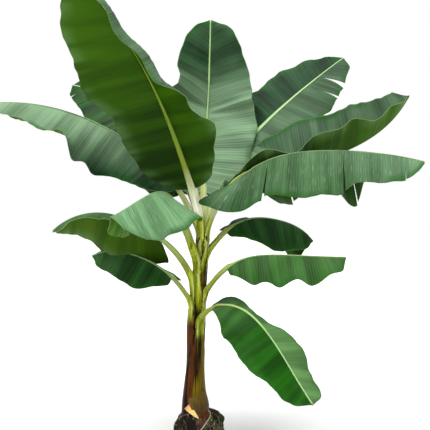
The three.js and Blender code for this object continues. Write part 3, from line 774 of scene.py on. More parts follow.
# %% The looks of leaves
LOOKS = {
    # look: upper side from deep to fresh green by veins and painted fold shade, with its wax and painted
    # sheen, then underside from painted shade to painted light
    "fresh": (upper_side("Waxy leaf upper side", "#051a09", "#1a4020", "#728f6e"),
              under_side("Leaf underside", "#132b00", "#305500")),
    "scratched": (upper_side("Scratched leaf upper side", "#12300f", "#2b5324", "#6b9468", scratched=0.4),
                  under_side("Leaf underside pale", "#224703", "#47750a")),
    "torn": (upper_side("Torn leaf upper side", "#1d3a1a", "#3a5b35", "#7c9c7a", scratched=0.5, first=0.62),
             under_side("Leaf underside in shade", "#0c2101", "#1c3a04")),
    "dark": (upper_side("Dark leaf upper side", "#021302", "#15430a", "#4a7044"),
             under_side("Leaf underside dark", "#0b1f01", "#244403")),
    "low": (upper_side("Low leaf upper side", "#0a2e03", "#1a5206", "#5f8550", veined=0.2),
            under_side("Leaf underside low", "#253f01", "#3d5c05")),
    "old": (upper_side("Old leaf upper side", "#042001", "#174f0a", "#5a8049"),
            under_side("Leaf underside old", "#253f01", "#3d5c05")),
}
# Where a blade ends or is torn, its pale green flesh shows, dull because it has no wax
CUT_EDGE = plain_material("Leaf cut edge", "#6f9050", 0.7)

# %% Make the blades
BLADE_SKIN = 1.6
LEAF_SEED, HALF_SEED = 100, 50


def thicken(piece, thickness):
    """Give a skin its thickness, with the next material below and the one after on its edges."""
    skin = piece.modifiers.new("Thickness", "SOLIDIFY")
    skin.thickness = thickness / 1000
    skin.offset = -1
    skin.material_offset = 1
    skin.material_offset_rim = 2
    with bpy.context.temp_override(object=piece, active_object=piece, selected_objects=[piece]):
        bpy.ops.object.modifier_apply(modifier=skin.name)


def weld(piece):
    """Join the points that both copies of a torn row share."""
    work = bmesh.new()
    work.from_mesh(piece.data)
    bmesh.ops.remove_doubles(work, verts=work.verts, dist=1e-6)
    work.to_mesh(piece.data)
    work.free()


def make_blade(leaf, seed):
    path = walk(leaf)
    points, maps, faces = [], [], []
    values = {"margin": [], "wax_and_sheen": []}
    for number, key in enumerate(("left", "right")):
        grid, flat, found, side_of_tear = half_blade(leaf, key, path, seed + HALF_SEED * number)
        gaps = {i for i in range(len(grid) - 1) if side_of_tear[i] == -1 and side_of_tear[i + 1] == 1}
        faces += grid_faces(*grid.shape[:2], first=len(points), flip=key == "left", skip=gaps)
        points += grid.reshape(-1, 3).tolist()
        maps += flat.reshape(-1, 2).tolist()
        for name, value in found.items():
            values[name] += value.ravel().tolist()
    upper, under = LOOKS[leaf["look"]]
    blade = make_piece("blade_" + leaf["name"], points, faces, [upper, under, CUT_EDGE],
                       maps={VEIN_MAP: maps}, values=values)
    weld(blade)
    thicken(blade, BLADE_SKIN)
    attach(blade, "root")
    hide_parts("leaf_" + leaf["name"])
    return len(blade.data.polygons)


faces_made = sum(make_blade(leaf, LEAF_SEED * number) for number, leaf in enumerate(LEAVES))
print("blade faces:", faces_made)

# %% [markdown]
# ## Stalks and ribs
# A stalk is a thick fleshy gutter: round below and hollowed above. It narrows from the false stem to the
# blade and carries on to the tip as the rib, where the hollow fades. One swept section does both, and it
# is drawn row by row because its width, depth and hollow all change on the way.
# %% Stalk and rib skin
def stalk_skin():
    """The stalk's smooth fleshy skin, with a clearer shine than a blade: yellow-green below, painted paler
    on top and in its gutter as a highlight of the light from above, cream where the high leaves part, and
    with dark streaks along its fibres."""
    material, tree, surface = new_material("Fleshy leaf stalk")
    along = add_node(tree, "Attribute", attribute_name="along")
    top = add_node(tree, "Attribute", attribute_name="top")
    far = add_node(tree, "MapRange", {"Value": along.outputs["Fac"], "From Min": 0.2, "From Max": 0.45})
    share = add_node(tree, "Attribute", attribute_name="cream")
    rib = add_node(tree, "Mix", {0: share.outputs["Fac"], 6: linear("#9cbb8c"), 7: linear("#66801a")},
                   data_type="RGBA")
    below = add_node(tree, "Mix", {0: far, 6: linear("#86932a"), 7: rib}, data_type="RGBA")
    # Painted highlight: the stalk's top and gutter are a paler, lit copy of its colour below
    above = add_node(tree, "Mix", {0: far, 6: linear("#b4bf68"), 7: linear("#94b878")}, data_type="RGBA")
    tone = add_node(tree, "Mix", {0: top.outputs["Fac"], 6: below, 7: above}, data_type="RGBA")
    place = add_node(tree, "TexCoord").outputs["Object"]
    split = add_node(tree, "SeparateXYZ", {"Vector": place})
    throat = add_node(tree, "MapRange", {"Value": split.outputs["Z"], "From Min": 1.16, "From Max": 1.26})
    start = add_node(tree, "MapRange", {"Value": along.outputs["Fac"], "From Min": 0.27, "From Max": 0.12})
    near_throat = add_node(tree, "Math", {0: throat, 1: start}, operation="MULTIPLY")
    cream = add_node(tree, "Math", {0: near_throat, 1: share.outputs["Fac"]}, operation="MULTIPLY")
    creamy = add_node(tree, "Mix", {0: cream, 6: tone, 7: linear("#f4f7d8")}, data_type="RGBA")
    flat = add_node(tree, "UVMap", uv_map=VEIN_MAP)
    fibres = drawn_noise(tree, flat, (3.3, 125, 1000), 3.0)
    shade = add_node(tree, "MapRange", {"Value": fibres, "From Min": 0.45, "From Max": 0.75, "To Max": 0.6})
    streaked = add_node(tree, "Mix", {0: shade, 6: creamy, 7: linear("#4c4a14")}, data_type="RGBA")
    finish_surface(tree, surface, streaked, 0.4, 0.25, relief=(fibres, 0.3, 0.0015))
    surface.inputs["IOR"].default_value = WAXY_IOR
    return material


STALK_SKIN = stalk_skin()


# %% Gutter section
STALK_ROW_STEP = 9
SECTION_POINTS = 24
# The share of the blade that the rib stops short of its tip
RIB_SHORT = 0.004
# Each is a list of places along the leaf and the section's value there, as a share of its half width
HOLLOW = ([0, 0.2, 0.6, 1], [0.5, 0.3, 0.05, -0.1])
DEPTH = ([0, 0.2, 1], [1.0, 0.95, 0.8])
GUTTER_RIM = {"height": 0.55, "fade": 0.08}
FOLDED_RIB = {"narrower": 0.6, "lower": 1.3, "above": 2.0}


def gutter_sweep(leaf):
    """Rows of points round the stalk and rib, with each row's distance along it, its whole length, the
    turn of each point in a row, and which of them lie on top."""
    path = walk(leaf)
    whole = leaf["stalk"] + leaf["blade"]
    s = np.linspace(0, whole - RIB_SHORT * leaf["blade"], int(whole / STALK_ROW_STEP))
    at = place_at(path, s)
    on_stalk = np.clip(s / leaf["stalk"], 0, 1)
    t = (s - leaf["stalk"]) / leaf["blade"]
    thin = STALK["end"] * leaf["girth"]
    half_width = np.where(t < 0, STALK["start"] + (thin - STALK["start"]) * on_stalk ** STALK["taper"],
                          rib_half_width(leaf, t) * (1 - FOLDED_RIB["narrower"] * folded(leaf, t)))
    hollow = np.interp(s / whole, *HOLLOW)[:, None]
    rim = GUTTER_RIM["height"] * (1 - smooth(t / GUTTER_RIM["fade"]))[:, None]
    depth = np.interp(s / whole, *DEPTH)[:, None]
    turn = np.linspace(0, 2 * np.pi, SECTION_POINTS, endpoint=False)
    across = np.cos(turn)
    below = -np.maximum(np.sin(turn), 0)[None, :] * depth
    above = rim - (rim + hollow) * (1 - np.abs(across[None, :]) ** 3)
    top = turn > np.pi
    tilt = (spread(leaf["right"]["lift"], t) - spread(leaf["left"]["lift"], t)) / 2
    roll = np.radians(np.where(t > 0, tilt, tilt * on_stalk ** 2))[:, None]
    side = at["side"] * np.cos(roll) + at["up"] * np.sin(roll)
    up = at["up"] * np.cos(roll) - at["side"] * np.sin(roll)
    height = np.where(top[None, :], above, below) * half_width[:, None]
    sink = FOLDED_RIB["lower"] * half_width * folded(leaf, t)
    lift = np.where(t > 0, FOLDED_RIB["above"] - sink, 0)[:, None]
    points = (at["point"][:, None, :]
              + side[:, None, :] * (half_width[:, None] * across)[..., None]
              + up[:, None, :] * (height + lift)[..., None])
    return points, s, whole, turn, top


# %% Make the stalks with their ribs
# The radius in metres that lays a stalk's skin flat, and how cream its foot is where its leaf doesn't say
SKIN_RADIUS = 0.012
CREAM = 0.35


def make_stalk(leaf):
    points, s, whole, turn, top = gutter_sweep(leaf)
    rows, sides = points.shape[:2]
    faces = tube_faces(rows, sides, flip=True)
    flat = np.stack(np.broadcast_arrays(turn[None, :] * SKIN_RADIUS, s[:, None] / 1000), -1).reshape(-1, 2)
    values = {"along": np.repeat(s / whole, sides), "top": np.tile(top * 1.0, rows),
              "cream": np.full(rows * sides, leaf.get("cream", CREAM))}
    stalk = make_piece("stalk_and_rib_" + leaf["name"], points.reshape(-1, 3), faces, [STALK_SKIN],
                       maps={VEIN_MAP: flat}, values=values)
    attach(stalk, "root")
    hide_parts("stalk_" + leaf["name"])
    return len(faces)


print("stalk and rib faces:", sum(make_stalk(leaf) for leaf in LEAVES))

# %% [markdown]
# ## False stem
# The sheaths of the lowest leaves lie outermost. Each wraps most of the way round at its foot and narrows
# upwards to its stalk, and its two thin edges dry to brown or black. The stem is one skin whose radius
# steps out by a sheath's thickness inside each sheath, so the overlaps show as real ridges. The sheaths
# are yellow-green where they are young, and maroon, olive and brown lower down.
# %% Sheath values
SHEATH = {
    # Half the angle in degrees that it wraps, narrow at its leaf and wide below its opening
    "narrow": 30, "wide": 104, "opening": 260,
    # How far it stands out, and the width over which its edge comes up
    "thickness": 3.4, "edge": 5,
    # It begins above its leaf's rise, over a short start, and past its reach it fades into the rest
    "above_rise": 25, "start": 12, "reach": 520, "fade": 200,
    # The dry line along its edge is whole at 1 and broken below
    "whole": 0.6,
}
# Places across a sheath, in millimetres inside its edge: the dry line, and the pale flank where a highlight
# is painted
DRY_LINE = {"inside": 1, "half": 8}
FLANK_HIGHLIGHT = {"inside": 16, "half": 5, "share": 0.5}
# Above this height every sheath is green
GREEN_FROM, GREEN_RISE = 715, 90
# How far below its rise a sheath stays green, and the distance over which the green fades
GREEN_REACH = {
    "left_low": (-10, 110), "left_middle": (40, 80), "right_middle": (50, 80),
    "right_low": (5, 60), "right_upper": (15, 50), "others": (100, 130),
}
# Angles round the stem in degrees, 0 to the right and -90 to the front, and heights
OLIVE = {"foot": -80, "turn": 42, "from": 200, "over": 260, "share": 0.74, "soft": 0.25}
STREAK = {
    "turn": [-89, -60], "half": 10, "core": 0.4, "whole": 1.1,
    "from": 370, "begins": 60, "to": 630, "ends": 40,
}
BROWN_SIDE = {
    "turn": -96, "over": 40, "last": 60, "share": 0.9,
    "from": 740, "begins": 50, "to": 930, "ends": 70,
}
# kind: height of the wobble, length of one swing and seed
WOBBLES = {
    "heading": (0.12, 160, 900), "width": (0.05, 30, 940), "torn": (1.3, 24, 980),
    "olive": (0.25, 120, 971), "streak": (3, 60, 974), "streak_gaps": (1, 30, 975),
}
# Height of the stripes that break up the olive side, how many go round, and seed
OLIVE_STRIPES = ((0.2, 9, 972), (0.12, 23, 973))
# The skin's foot stands in the soil, and its mean lies a little inside the plain solid
FOOT_SUNK = 12
STEM_INSET = 1.5
STEM_ROWS = 290
STEM_COLUMNS = 168


def wobble(kind, z, number=0):
    """One kind of random wobble by height, with a curve of its own for each number."""
    height, length, seed = WOBBLES[kind]
    return height * wander(z / length, seed + number)


def sheath_half_angle(below):
    """Half the angle that a sheath wraps, at a distance below its leaf's rise."""
    widening = (SHEATH["wide"] - SHEATH["narrow"]) * smooth(below / SHEATH["opening"])
    return np.radians(SHEATH["narrow"] + widening)


def freshness(leaf, below):
    """How green a sheath is at a distance below its leaf's rise, from 1 to 0."""
    reach, fade = GREEN_REACH.get(leaf["name"], GREEN_REACH["others"])
    return 1 - smooth((below - reach) / fade)


def bell(distance, half):
    """Fall smoothly from 1 at no distance to nearly nothing at twice the half."""
    return np.exp(-(distance / half) ** 2)


# %% Sheath layers
def sheath_layers(z, turn, radius):
    """Lay the sheaths over each other from the top leaf down. By height and angle, gives the thickness of
    the layers, how dry and young their skin is, and how pale the painted highlight on its flank makes it."""
    layers, dry, pale = (np.zeros_like(radius) for _ in range(3))
    green = smooth((z - GREEN_FROM) / GREEN_RISE)[:, None] + 0 * turn
    young = green.copy()
    for number, leaf in enumerate(sorted(LEAVES, key=lambda leaf: -leaf["rise"])):
        below = leaf["rise"] + SHEATH["above_rise"] - z[:, None]
        heading = math.radians(leaf["heading"][0]) + wobble("heading", z, number)[:, None]
        away = np.abs((turn[None, :] - heading + np.pi) % (2 * np.pi) - np.pi)
        width = sheath_half_angle(below) + wobble("width", z, number)[:, None]
        inside = (width - away) * radius
        begun = smooth(below / SHEATH["start"])
        there = begun * smooth(inside / SHEATH["edge"])
        fade = 1 - smooth((below - SHEATH["reach"]) / SHEATH["fade"])
        layers = layers + SHEATH["thickness"] * there * fade
        torn_edge = smooth(SHEATH["whole"] + wobble("torn", z, number))[:, None]
        line = bell(inside - DRY_LINE["inside"], DRY_LINE["half"]) * begun * fade * torn_edge
        dry = np.maximum(dry * (1 - there), line)
        flank = bell(inside - FLANK_HIGHLIGHT["inside"], FLANK_HIGHLIGHT["half"]) * begun
        pale = np.maximum(pale * (1 - there), FLANK_HIGHLIGHT["share"] * flank * freshness(leaf, below))
        young = young * (1 - there) + np.maximum(green, freshness(leaf, below)) * there
    return layers, dry, young, pale


# %% Olive, black and brown places
def olive_side(z, turn):
    """The olive side of the old sheaths, which turns round the stem on its way up."""
    facing = np.radians(OLIVE["foot"] + OLIVE["turn"] * smooth((z - OLIVE["from"]) / OLIVE["over"]))
    facing = (facing + wobble("olive", z))[:, None]
    stripes = sum(height * wander(turn * count, seed)[None, :] for height, count, seed in OLIVE_STRIPES)
    return smooth((np.cos(turn[None, :] - facing) + stripes - OLIVE["share"]) / OLIVE["soft"])


def black_streak(z, around):
    """A rotted black streak up the front, broken by gaps."""
    streak = np.interp(z, [STREAK["from"], STREAK["to"]], STREAK["turn"]) + wobble("streak", z)
    away = np.abs(around[None, :] - streak[:, None]) / STREAK["half"]
    ends = smooth((z - STREAK["from"]) / STREAK["begins"])
    ends = ends * (1 - smooth((z - STREAK["to"]) / STREAK["ends"]))
    unbroken = smooth(STREAK["whole"] + wobble("streak_gaps", z))
    return (1 - smooth(away - STREAK["core"])) * (ends * unbroken)[:, None]


def brown_side(z, around):
    """The stretch on the right where the inner sheaths are brown."""
    side = smooth((around - BROWN_SIDE["turn"]) / BROWN_SIDE["over"]) * (around < BROWN_SIDE["last"])
    band = smooth((z - BROWN_SIDE["from"]) / BROWN_SIDE["begins"])
    band = band * (1 - smooth((z - BROWN_SIDE["to"]) / BROWN_SIDE["ends"]))
    return side[None, :] * band[:, None]


def sheath_relief():
    """The false stem's radius and the look of its skin, by height and angle."""
    z = np.linspace(STEM["foot"] - FOOT_SUNK, STEM["top"], STEM_ROWS)
    turn = np.linspace(0, 2 * np.pi, STEM_COLUMNS, endpoint=False)
    around = (np.degrees(turn) + 180) % 360 - 180
    share = (z - STEM["foot"]) / (STEM["top"] - STEM["foot"])
    radius = spread(STEM_RADII, share)[:, None] + 0 * turn
    layers, dry, young, pale = sheath_layers(z, turn, radius)
    brown = brown_side(z, around)
    young = young * (1 - BROWN_SIDE["share"] * brown)
    return {
        "z": z, "turn": turn,
        "radius": radius - STEM_INSET + layers - layers.mean(axis=1, keepdims=True),
        "dry": np.maximum(dry, black_streak(z, around)),
        "young": young,
        "olive": olive_side(z, turn) * (1 - brown),
        "pale": pale * young,
    }


RELIEF = sheath_relief()
print("sheath skin points:", RELIEF["radius"].size)


# %% False stem skin
SHEATH_VALUES = ("dry", "young", "olive", "pale")
# Heights in metres between which the brown of the foot gives way to olive
BROWN_FOOT = (0.24, 0.36)


def stem_skin():
    """The sheaths' skin, smooth and a little waxy: young green, or olive or maroon by place, with a painted
    highlight on each sheath's pale flank, dark streaks drawn out along its fibres, and brown at its foot."""
    material, tree, surface = new_material("Banana leaf sheath")
    place = add_node(tree, "TexCoord").outputs["Object"]
    streaks = drawn_noise(tree, place, (10.5, 10.5, 310), 4.0, Roughness=0.62)
    bands = drawn_noise(tree, place, (29.5, 29.5, 250), 3.0)
    parts = {key: add_node(tree, "Attribute", attribute_name=key) for key in SHEATH_VALUES}
    red = add_node(tree, "MapRange", {"Value": bands, "From Min": 0.42, "From Max": 0.6})
    maroon = add_node(tree, "Mix", {0: red, 6: linear("#100503"), 7: linear("#4f270b")}, data_type="RGBA")
    split = add_node(tree, "SeparateXYZ", {"Vector": place})
    rise = add_node(tree, "MapRange", {"Value": split.outputs["Z"], "From Min": BROWN_FOOT[0],
                                       "From Max": BROWN_FOOT[1]})
    olive = add_node(tree, "Mix", {0: rise, 6: linear("#4f3009"), 7: linear("#6a5f0c")}, data_type="RGBA")
    low = add_node(tree, "Mix", {0: parts["olive"].outputs["Fac"], 6: maroon, 7: olive}, data_type="RGBA")
    bright = add_node(tree, "MapRange", {"Value": bands, "From Min": 0.38, "From Max": 0.65})
    leafy = add_node(tree, "Mix", {0: bright, 6: linear("#6c7a0a"), 7: linear("#a9b32a")}, data_type="RGBA")
    tone = add_node(tree, "Mix", {0: parts["young"].outputs["Fac"], 6: low, 7: leafy}, data_type="RGBA")
    # A painted highlight on each sheath's pale flank
    flanked = add_node(tree, "Mix", {0: parts["pale"].outputs["Fac"], 6: tone, 7: linear("#d3d691")},
                       data_type="RGBA")
    sharp = add_node(tree, "MapRange", {"Value": streaks, "From Min": 0.5, "From Max": 0.66, "To Max": 0.7})
    streaked = add_node(tree, "Mix", {0: sharp, 6: flanked, 7: linear("#150803")}, data_type="RGBA")
    edged = add_node(tree, "Mix", {0: parts["dry"].outputs["Fac"], 6: streaked, 7: linear("#120b07")},
                     data_type="RGBA")
    finish_surface(tree, surface, edged, 0.25, 0.05, relief=(streaks, 0.5, 0.002))
    surface.inputs["IOR"].default_value = WAXY_IOR
    return material


SHEATH_SKIN = stem_skin()


# %% Make the false stem
def make_stem():
    centre = stem_centre(RELIEF["z"])
    ring = np.stack([np.cos(RELIEF["turn"]), np.sin(RELIEF["turn"]), 0 * RELIEF["turn"]], -1)
    points = centre[:, None, :] + RELIEF["radius"][..., None] * ring[None, :, :]
    faces = tube_faces(*RELIEF["radius"].shape)
    stem = make_piece("false_stem_sheaths", points.reshape(-1, 3), faces, [SHEATH_SKIN],
                      values={key: RELIEF[key] for key in SHEATH_VALUES})
    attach(stem, "root")
    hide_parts("false_stem")
    print("false stem faces:", len(faces))


make_stem()

# %% [markdown]
# The top of each sheath folds inwards from the stem's skin to the gutter of its stalk. It is a thin
# tongue laid over both: every row of it is a stalk's arc, a stem's arc or a mix of the two, whichever
# stands further out.
# %% Sheath tops
TONGUE = {
    "rows": 60, "columns": 29, "skin": 2.2,
    # It starts at this share of the stalk, leaves it at this share of its own length, and runs on down
    "top": 0.45, "turn": 0.62, "down": 170, "lands_over": 0.2,
    # Half its wrap round the stalk in degrees, and how it widens from a tight fit
    "wrap": 105, "tight": 0.97, "swell": 0.08, "swells_by": 0.15,
    # How it passes from the stalk's arc to the stem's, and stands above the stem's skin or sinks in it
    "blend": 12, "most": 1.6, "proud": 2.5,
}
# Across a sheath's top from 0 to 1, where its dry edge begins and its pale flank, a painted highlight,
# lies. Down it, where they begin, and over how much of it the stem's own marks come in below the stalk
TONGUE_EDGE = {
    "from": 0.76, "over": 0.12, "begins": 0.3, "in_full": 0.2,
    "whole": 0.8, "torn": 1.5, "teeth": 40,
}
TONGUE_FLANK_HIGHLIGHT = {"at": 0.6, "half": 0.12, "begins": 0.3}
STEM_MARKS_OVER = 0.05
TONGUE_SEED = 31


def on_relief(key, z, turn):
    """A value of the sheath relief at heights and angles, between its rows and columns."""
    table = RELIEF[key]
    row = np.clip(np.interp(z, RELIEF["z"], np.arange(STEM_ROWS)), 0, STEM_ROWS - 1.001)
    column = (turn % (2 * np.pi)) / (2 * np.pi) * STEM_COLUMNS
    i, j = row.astype(int), column.astype(int) % STEM_COLUMNS
    f, g = row - i, column - np.floor(column)
    over = (j + 1) % STEM_COLUMNS
    return ((table[i, j] * (1 - g) + table[i, over] * g) * (1 - f)
            + (table[i + 1, j] * (1 - g) + table[i + 1, over] * g) * f)


def tongue_grid(leaf, q, k):
    """Points of a sheath's top for places q down it and k across it, with the heights and the angles
    round the stem where they lie."""
    on_stalk = TONGUE["top"] * np.clip(1 - q / TONGUE["turn"], 0, 1)
    at = place_at(walk(leaf), leaf["stalk"] * on_stalk)
    thin = STALK["end"] * leaf["girth"]
    half_width = STALK["start"] + (thin - STALK["start"]) * on_stalk ** STALK["taper"]
    half_width = half_width * (TONGUE["tight"] + TONGUE["swell"] * smooth(q / TONGUE["swells_by"]))
    bend = np.radians(TONGUE["wrap"]) * k
    curve = (at["side"][:, None, :] * np.sin(bend)[None, :, None]
             - at["up"][:, None, :] * np.cos(bend)[None, :, None])
    stalk_arc = at["point"][:, None, :] + half_width[:, None, None] * curve
    z = at["point"][:, 2] - TONGUE["down"] * np.clip((q - TONGUE["turn"]) / (1 - TONGUE["turn"]), 0, 1)
    below = leaf["rise"] + SHEATH["above_rise"] - z
    turn = math.radians(leaf["heading"][0]) - k[None, :] * sheath_half_angle(below)[:, None]
    sink = TONGUE["proud"] - 2 * TONGUE["proud"] * smooth((q - 0.5) / 0.5)
    radius = on_relief("radius", np.broadcast_to(z[:, None], turn.shape), turn) + sink[:, None]
    ring = np.stack([np.cos(turn), np.sin(turn), 0 * turn], -1)
    stem_arc = stem_centre(z)[:, None, :] + radius[..., None] * ring
    reach = np.linalg.norm((stalk_arc - stem_centre(stalk_arc[..., 2]))[..., :2], axis=-1)
    further = (reach - radius) / TONGUE["blend"]
    low = smooth((q - TONGUE["turn"]) / TONGUE["lands_over"])[:, None]
    share = (1 - low) / (1 + np.exp(-further))
    grid = share[..., None] * stalk_arc + (1 - share)[..., None] * stem_arc
    middle = stem_centre(grid[..., 2])
    rounded = radius + TONGUE["blend"] * np.logaddexp(0, further)
    swell = np.clip(rounded / np.linalg.norm((grid - middle)[..., :2], axis=-1), 1, TONGUE["most"]) - 1
    return grid + (grid - middle) * (4 * share * (1 - share) * swell)[..., None], z, turn


def tongue_values(leaf, q, k, z, turn):
    """The same values as the stem's skin has, with a dry edge and a painted highlight on the pale flank on
    each side.
    """
    height = np.broadcast_to(z[:, None], turn.shape)
    fresh = freshness(leaf, leaf["rise"] + SHEATH["above_rise"] - z)
    on_stem = smooth((q - TONGUE["turn"]) / STEM_MARKS_OVER)[:, None]
    edge = smooth((np.abs(k) - TONGUE_EDGE["from"]) / TONGUE_EDGE["over"])[None, :]
    edge = edge * smooth((q - TONGUE_EDGE["begins"]) / TONGUE_EDGE["in_full"])[:, None]
    teeth = wander(q * TONGUE_EDGE["teeth"], TONGUE_SEED + leaf["rise"])
    rough = smooth(TONGUE_EDGE["whole"] + TONGUE_EDGE["torn"] * teeth)[:, None]
    flank = bell(np.abs(k) - TONGUE_FLANK_HIGHLIGHT["at"], TONGUE_FLANK_HIGHLIGHT["half"])[None, :]
    flank = flank * (fresh * smooth(q / TONGUE_FLANK_HIGHLIGHT["begins"]))[:, None]
    return {
        "dry": np.maximum(edge * rough, on_relief("dry", height, turn) * on_stem),
        "young": np.maximum(on_relief("young", height, turn), fresh[:, None]),
        "olive": on_relief("olive", height, turn),
        "pale": np.maximum(FLANK_HIGHLIGHT["share"] * flank, on_relief("pale", height, turn) * on_stem),
    }


# %% Make the sheath tops
# The inside of a sheath sees no sun, so it is cream, and its thin margin has dried to dull brown
GUTTER_CREAM = plain_material("Sheath inside", "#c9cf8e", 0.5)
DRY_MARGIN = plain_material("Dry sheath margin", "#3a2412", 0.8)


def make_tongue(leaf):
    down = np.linspace(0, 1, TONGUE["rows"])
    across = np.linspace(-1, 1, TONGUE["columns"])
    grid, z, turn = tongue_grid(leaf, down, across)
    values = tongue_values(leaf, down, across, z, turn)
    top = make_piece("sheath_top_" + leaf["name"], grid.reshape(-1, 3), grid_faces(*grid.shape[:2]),
                     [SHEATH_SKIN, GUTTER_CREAM, DRY_MARGIN], values=values)
    thicken(top, TONGUE["skin"])
    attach(top, "root")
    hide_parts("false_stem")
    return len(top.data.polygons)


print("sheath top faces:", sum(make_tongue(leaf) for leaf in LEAVES))

# %% [markdown]
# ## Root ball
# The plant was dug up with its roots, so its foot is a clump of dark damp soil held together by cord-like
# roots, with brown fibres of rotted sheaths round the stem and a little moss. The soil is a lumpy skin
# roughened by noise, and the roots are thin tubes that creep over it.
# %% Soil shape
BALL = {"top": 226, "rim": 127, "rim_height": 128, "flat": 94, "shoulder": 0.8}
BALL_RINGS = 84
BALL_COLUMNS = 168
# The plain solid counts its rings below and above the rim, and its lumps go by that count
CAD_RINGS_BELOW, CAD_RINGS_ABOVE = 6, 7
# Height of a lump as a share of the radius, lumps in a turn, and their twist for each ring
LUMPS = ((0.035, 3, 0.8), (0.025, 7, -1.3))
# Size and height of the crumbs of three sizes in millimetres
CRUMBS = ((38, 7), (14, 5), (6, 2.2))
# Crumbs stand out sideways more than up, and fade toward the underside below this height
CRUMB_RISE = 0.4
CRUMB_FADE = 12
# The skin ends here, inside the stem
SOIL_END = 0.93


def ball_point(turn, climb):
    """A point of the soil's skin. Climb is -1 at the underside's rim, 0 at the widest and 1 at the top."""
    if climb <= 0:
        bend = -climb * math.pi / 2
        z = BALL["rim_height"] * (1 - math.sin(bend))
        radius = BALL["flat"] + (BALL["rim"] - BALL["flat"]) * math.cos(bend)
        ring = CAD_RINGS_BELOW * (1 + climb)
    else:
        bend = climb * math.pi / 2
        z = BALL["rim_height"] + (BALL["top"] - BALL["rim_height"]) * math.sin(bend)
        radius = BALL["rim"] * max(math.cos(bend), 0) ** BALL["shoulder"]
        ring = CAD_RINGS_BELOW + CAD_RINGS_ABOVE * climb
    lumps = sum(height * math.sin(count * turn + twist * ring) for height, count, twist in LUMPS)
    radius *= 1 + lumps * min(1, ring)
    return Vector((radius * math.cos(turn), radius * math.sin(turn), z))


def crumbled(point):
    """Roughen a soil point by noise of three sizes, less at the flat underside."""
    rough = sum(height * noise.noise(point / size) for size, height in CRUMBS)
    out = Vector((point.x, point.y, CRUMB_RISE * (point.z - BALL["rim_height"]))).normalized()
    return point + out * rough * min(1, point.z / CRUMB_FADE)


# %% Soil and root materials
# Sizes of a crumb and of a damp patch in millimetres, and the places in metres where moss begins and is full
CRUMB, DAMP_PATCH = 8.3, 45
MOSS_FROM, MOSS_TO = 0.01, 0.06


def earth(name, dark, light, moss):
    """Damp dull earth, or bark with earth on it: dark and light crumbs that scatter the light without a
    shine, and moss in patches on the right of the soil."""
    material, tree, surface = new_material(name)
    place = add_node(tree, "TexCoord").outputs["Object"]
    crumbs = add_node(tree, "TexNoise", {"Vector": place, "Scale": 1000 / CRUMB, "Detail": 5.0,
                                         "Roughness": 0.7})
    spread_out = add_node(tree, "MapRange", {"Value": crumbs, "From Min": 0.4, "From Max": 0.72})
    tone = add_node(tree, "Mix", {0: spread_out, 6: linear(dark), 7: linear(light)}, data_type="RGBA")
    damp = add_node(tree, "TexNoise", {"Vector": place, "Scale": 1000 / DAMP_PATCH, "Detail": 3.0})
    green = add_node(tree, "MapRange", {"Value": damp, "From Min": 0.5, "From Max": 0.58, "To Max": moss})
    split = add_node(tree, "SeparateXYZ", {"Vector": place})
    right = add_node(tree, "MapRange", {"Value": split.outputs["X"], "From Min": MOSS_FROM,
                                        "From Max": MOSS_TO})
    grown = add_node(tree, "Math", {0: green, 1: right}, operation="MULTIPLY")
    mossy = add_node(tree, "Mix", {0: grown, 6: tone, 7: linear("#5a8222")}, data_type="RGBA")
    finish_surface(tree, surface, mossy, 0.9, 0.2, relief=(crumbs, 0.8, 0.003))
    return material


SOIL = earth("Damp soil", "#050302", "#241a11", 0.7)
ROOT_BARK = earth("Cord root bark", "#1c120a", "#6b563f", 0.0)
PALE_ROOT = earth("Pale root", "#857763", "#cfc4b0", 0.0)
FIBRE = earth("Rotted sheath fibre", "#060403", "#241810", 0.0)


# %% Make the soil
def make_soil():
    half = BALL_RINGS // 2
    climbs = np.concatenate([np.linspace(-1, 0, half), np.linspace(0, SOIL_END, half)[1:]])
    turns = np.linspace(0, 2 * np.pi, BALL_COLUMNS, endpoint=False)
    points = [tuple(crumbled(ball_point(turn, climb))) for climb in climbs for turn in turns]
    faces = tube_faces(len(climbs), BALL_COLUMNS)
    soil = make_piece("root_ball_soil", points, faces, [SOIL])
    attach(soil, "root")
    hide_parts("root_ball")
    print("soil faces:", len(faces))


make_soil()


# %% Roots that creep over the soil
ROOT_SIDES = 6
# Roots stay between these climbs, and lie this much outside the soil's skin
ROOT_LOW, ROOT_HIGH = -0.8, 0.75
ROOT_OUT = 1.012
# How far a root bends sideways and up from its run, and how fast it swings
SIDE_SWING, CLIMB_SWING = 0.7, 0.9
CLIMB_BEND = 0.6
ROOT_TAPER = 0.5
# name: material, count, seed, radii in millimetres, steps of climb and turn, where they start and points
STRANDS = {
    "cord_roots": (ROOT_BARK, 130, 5, (1.4, 3.2), 0.03, 0.05, (-0.7, 0.6), 14),
    "pale_roots": (PALE_ROOT, 110, 6, (0.7, 1.5), 0.035, 0.07, (-0.6, 0.7), 8),
    "sheath_fibres": (FIBRE, 150, 7, (0.7, 1.6), 0.05, 0.012, (0.25, 0.75), 12),
}


def tube(centres, radii, sides):
    """Points of a thin tube that follows centres."""
    points = []
    last = len(centres) - 1
    for i, (centre, radius) in enumerate(zip(centres, radii)):
        ahead = (centres[min(i + 1, last)] - centres[max(i - 1, 0)]).normalized()
        across = ahead.orthogonal().normalized()
        other = ahead.cross(across)
        for j in range(sides):
            turn = 2 * math.pi * j / sides
            points.append(centre + across * radius * math.cos(turn) + other * radius * math.sin(turn))
    return points


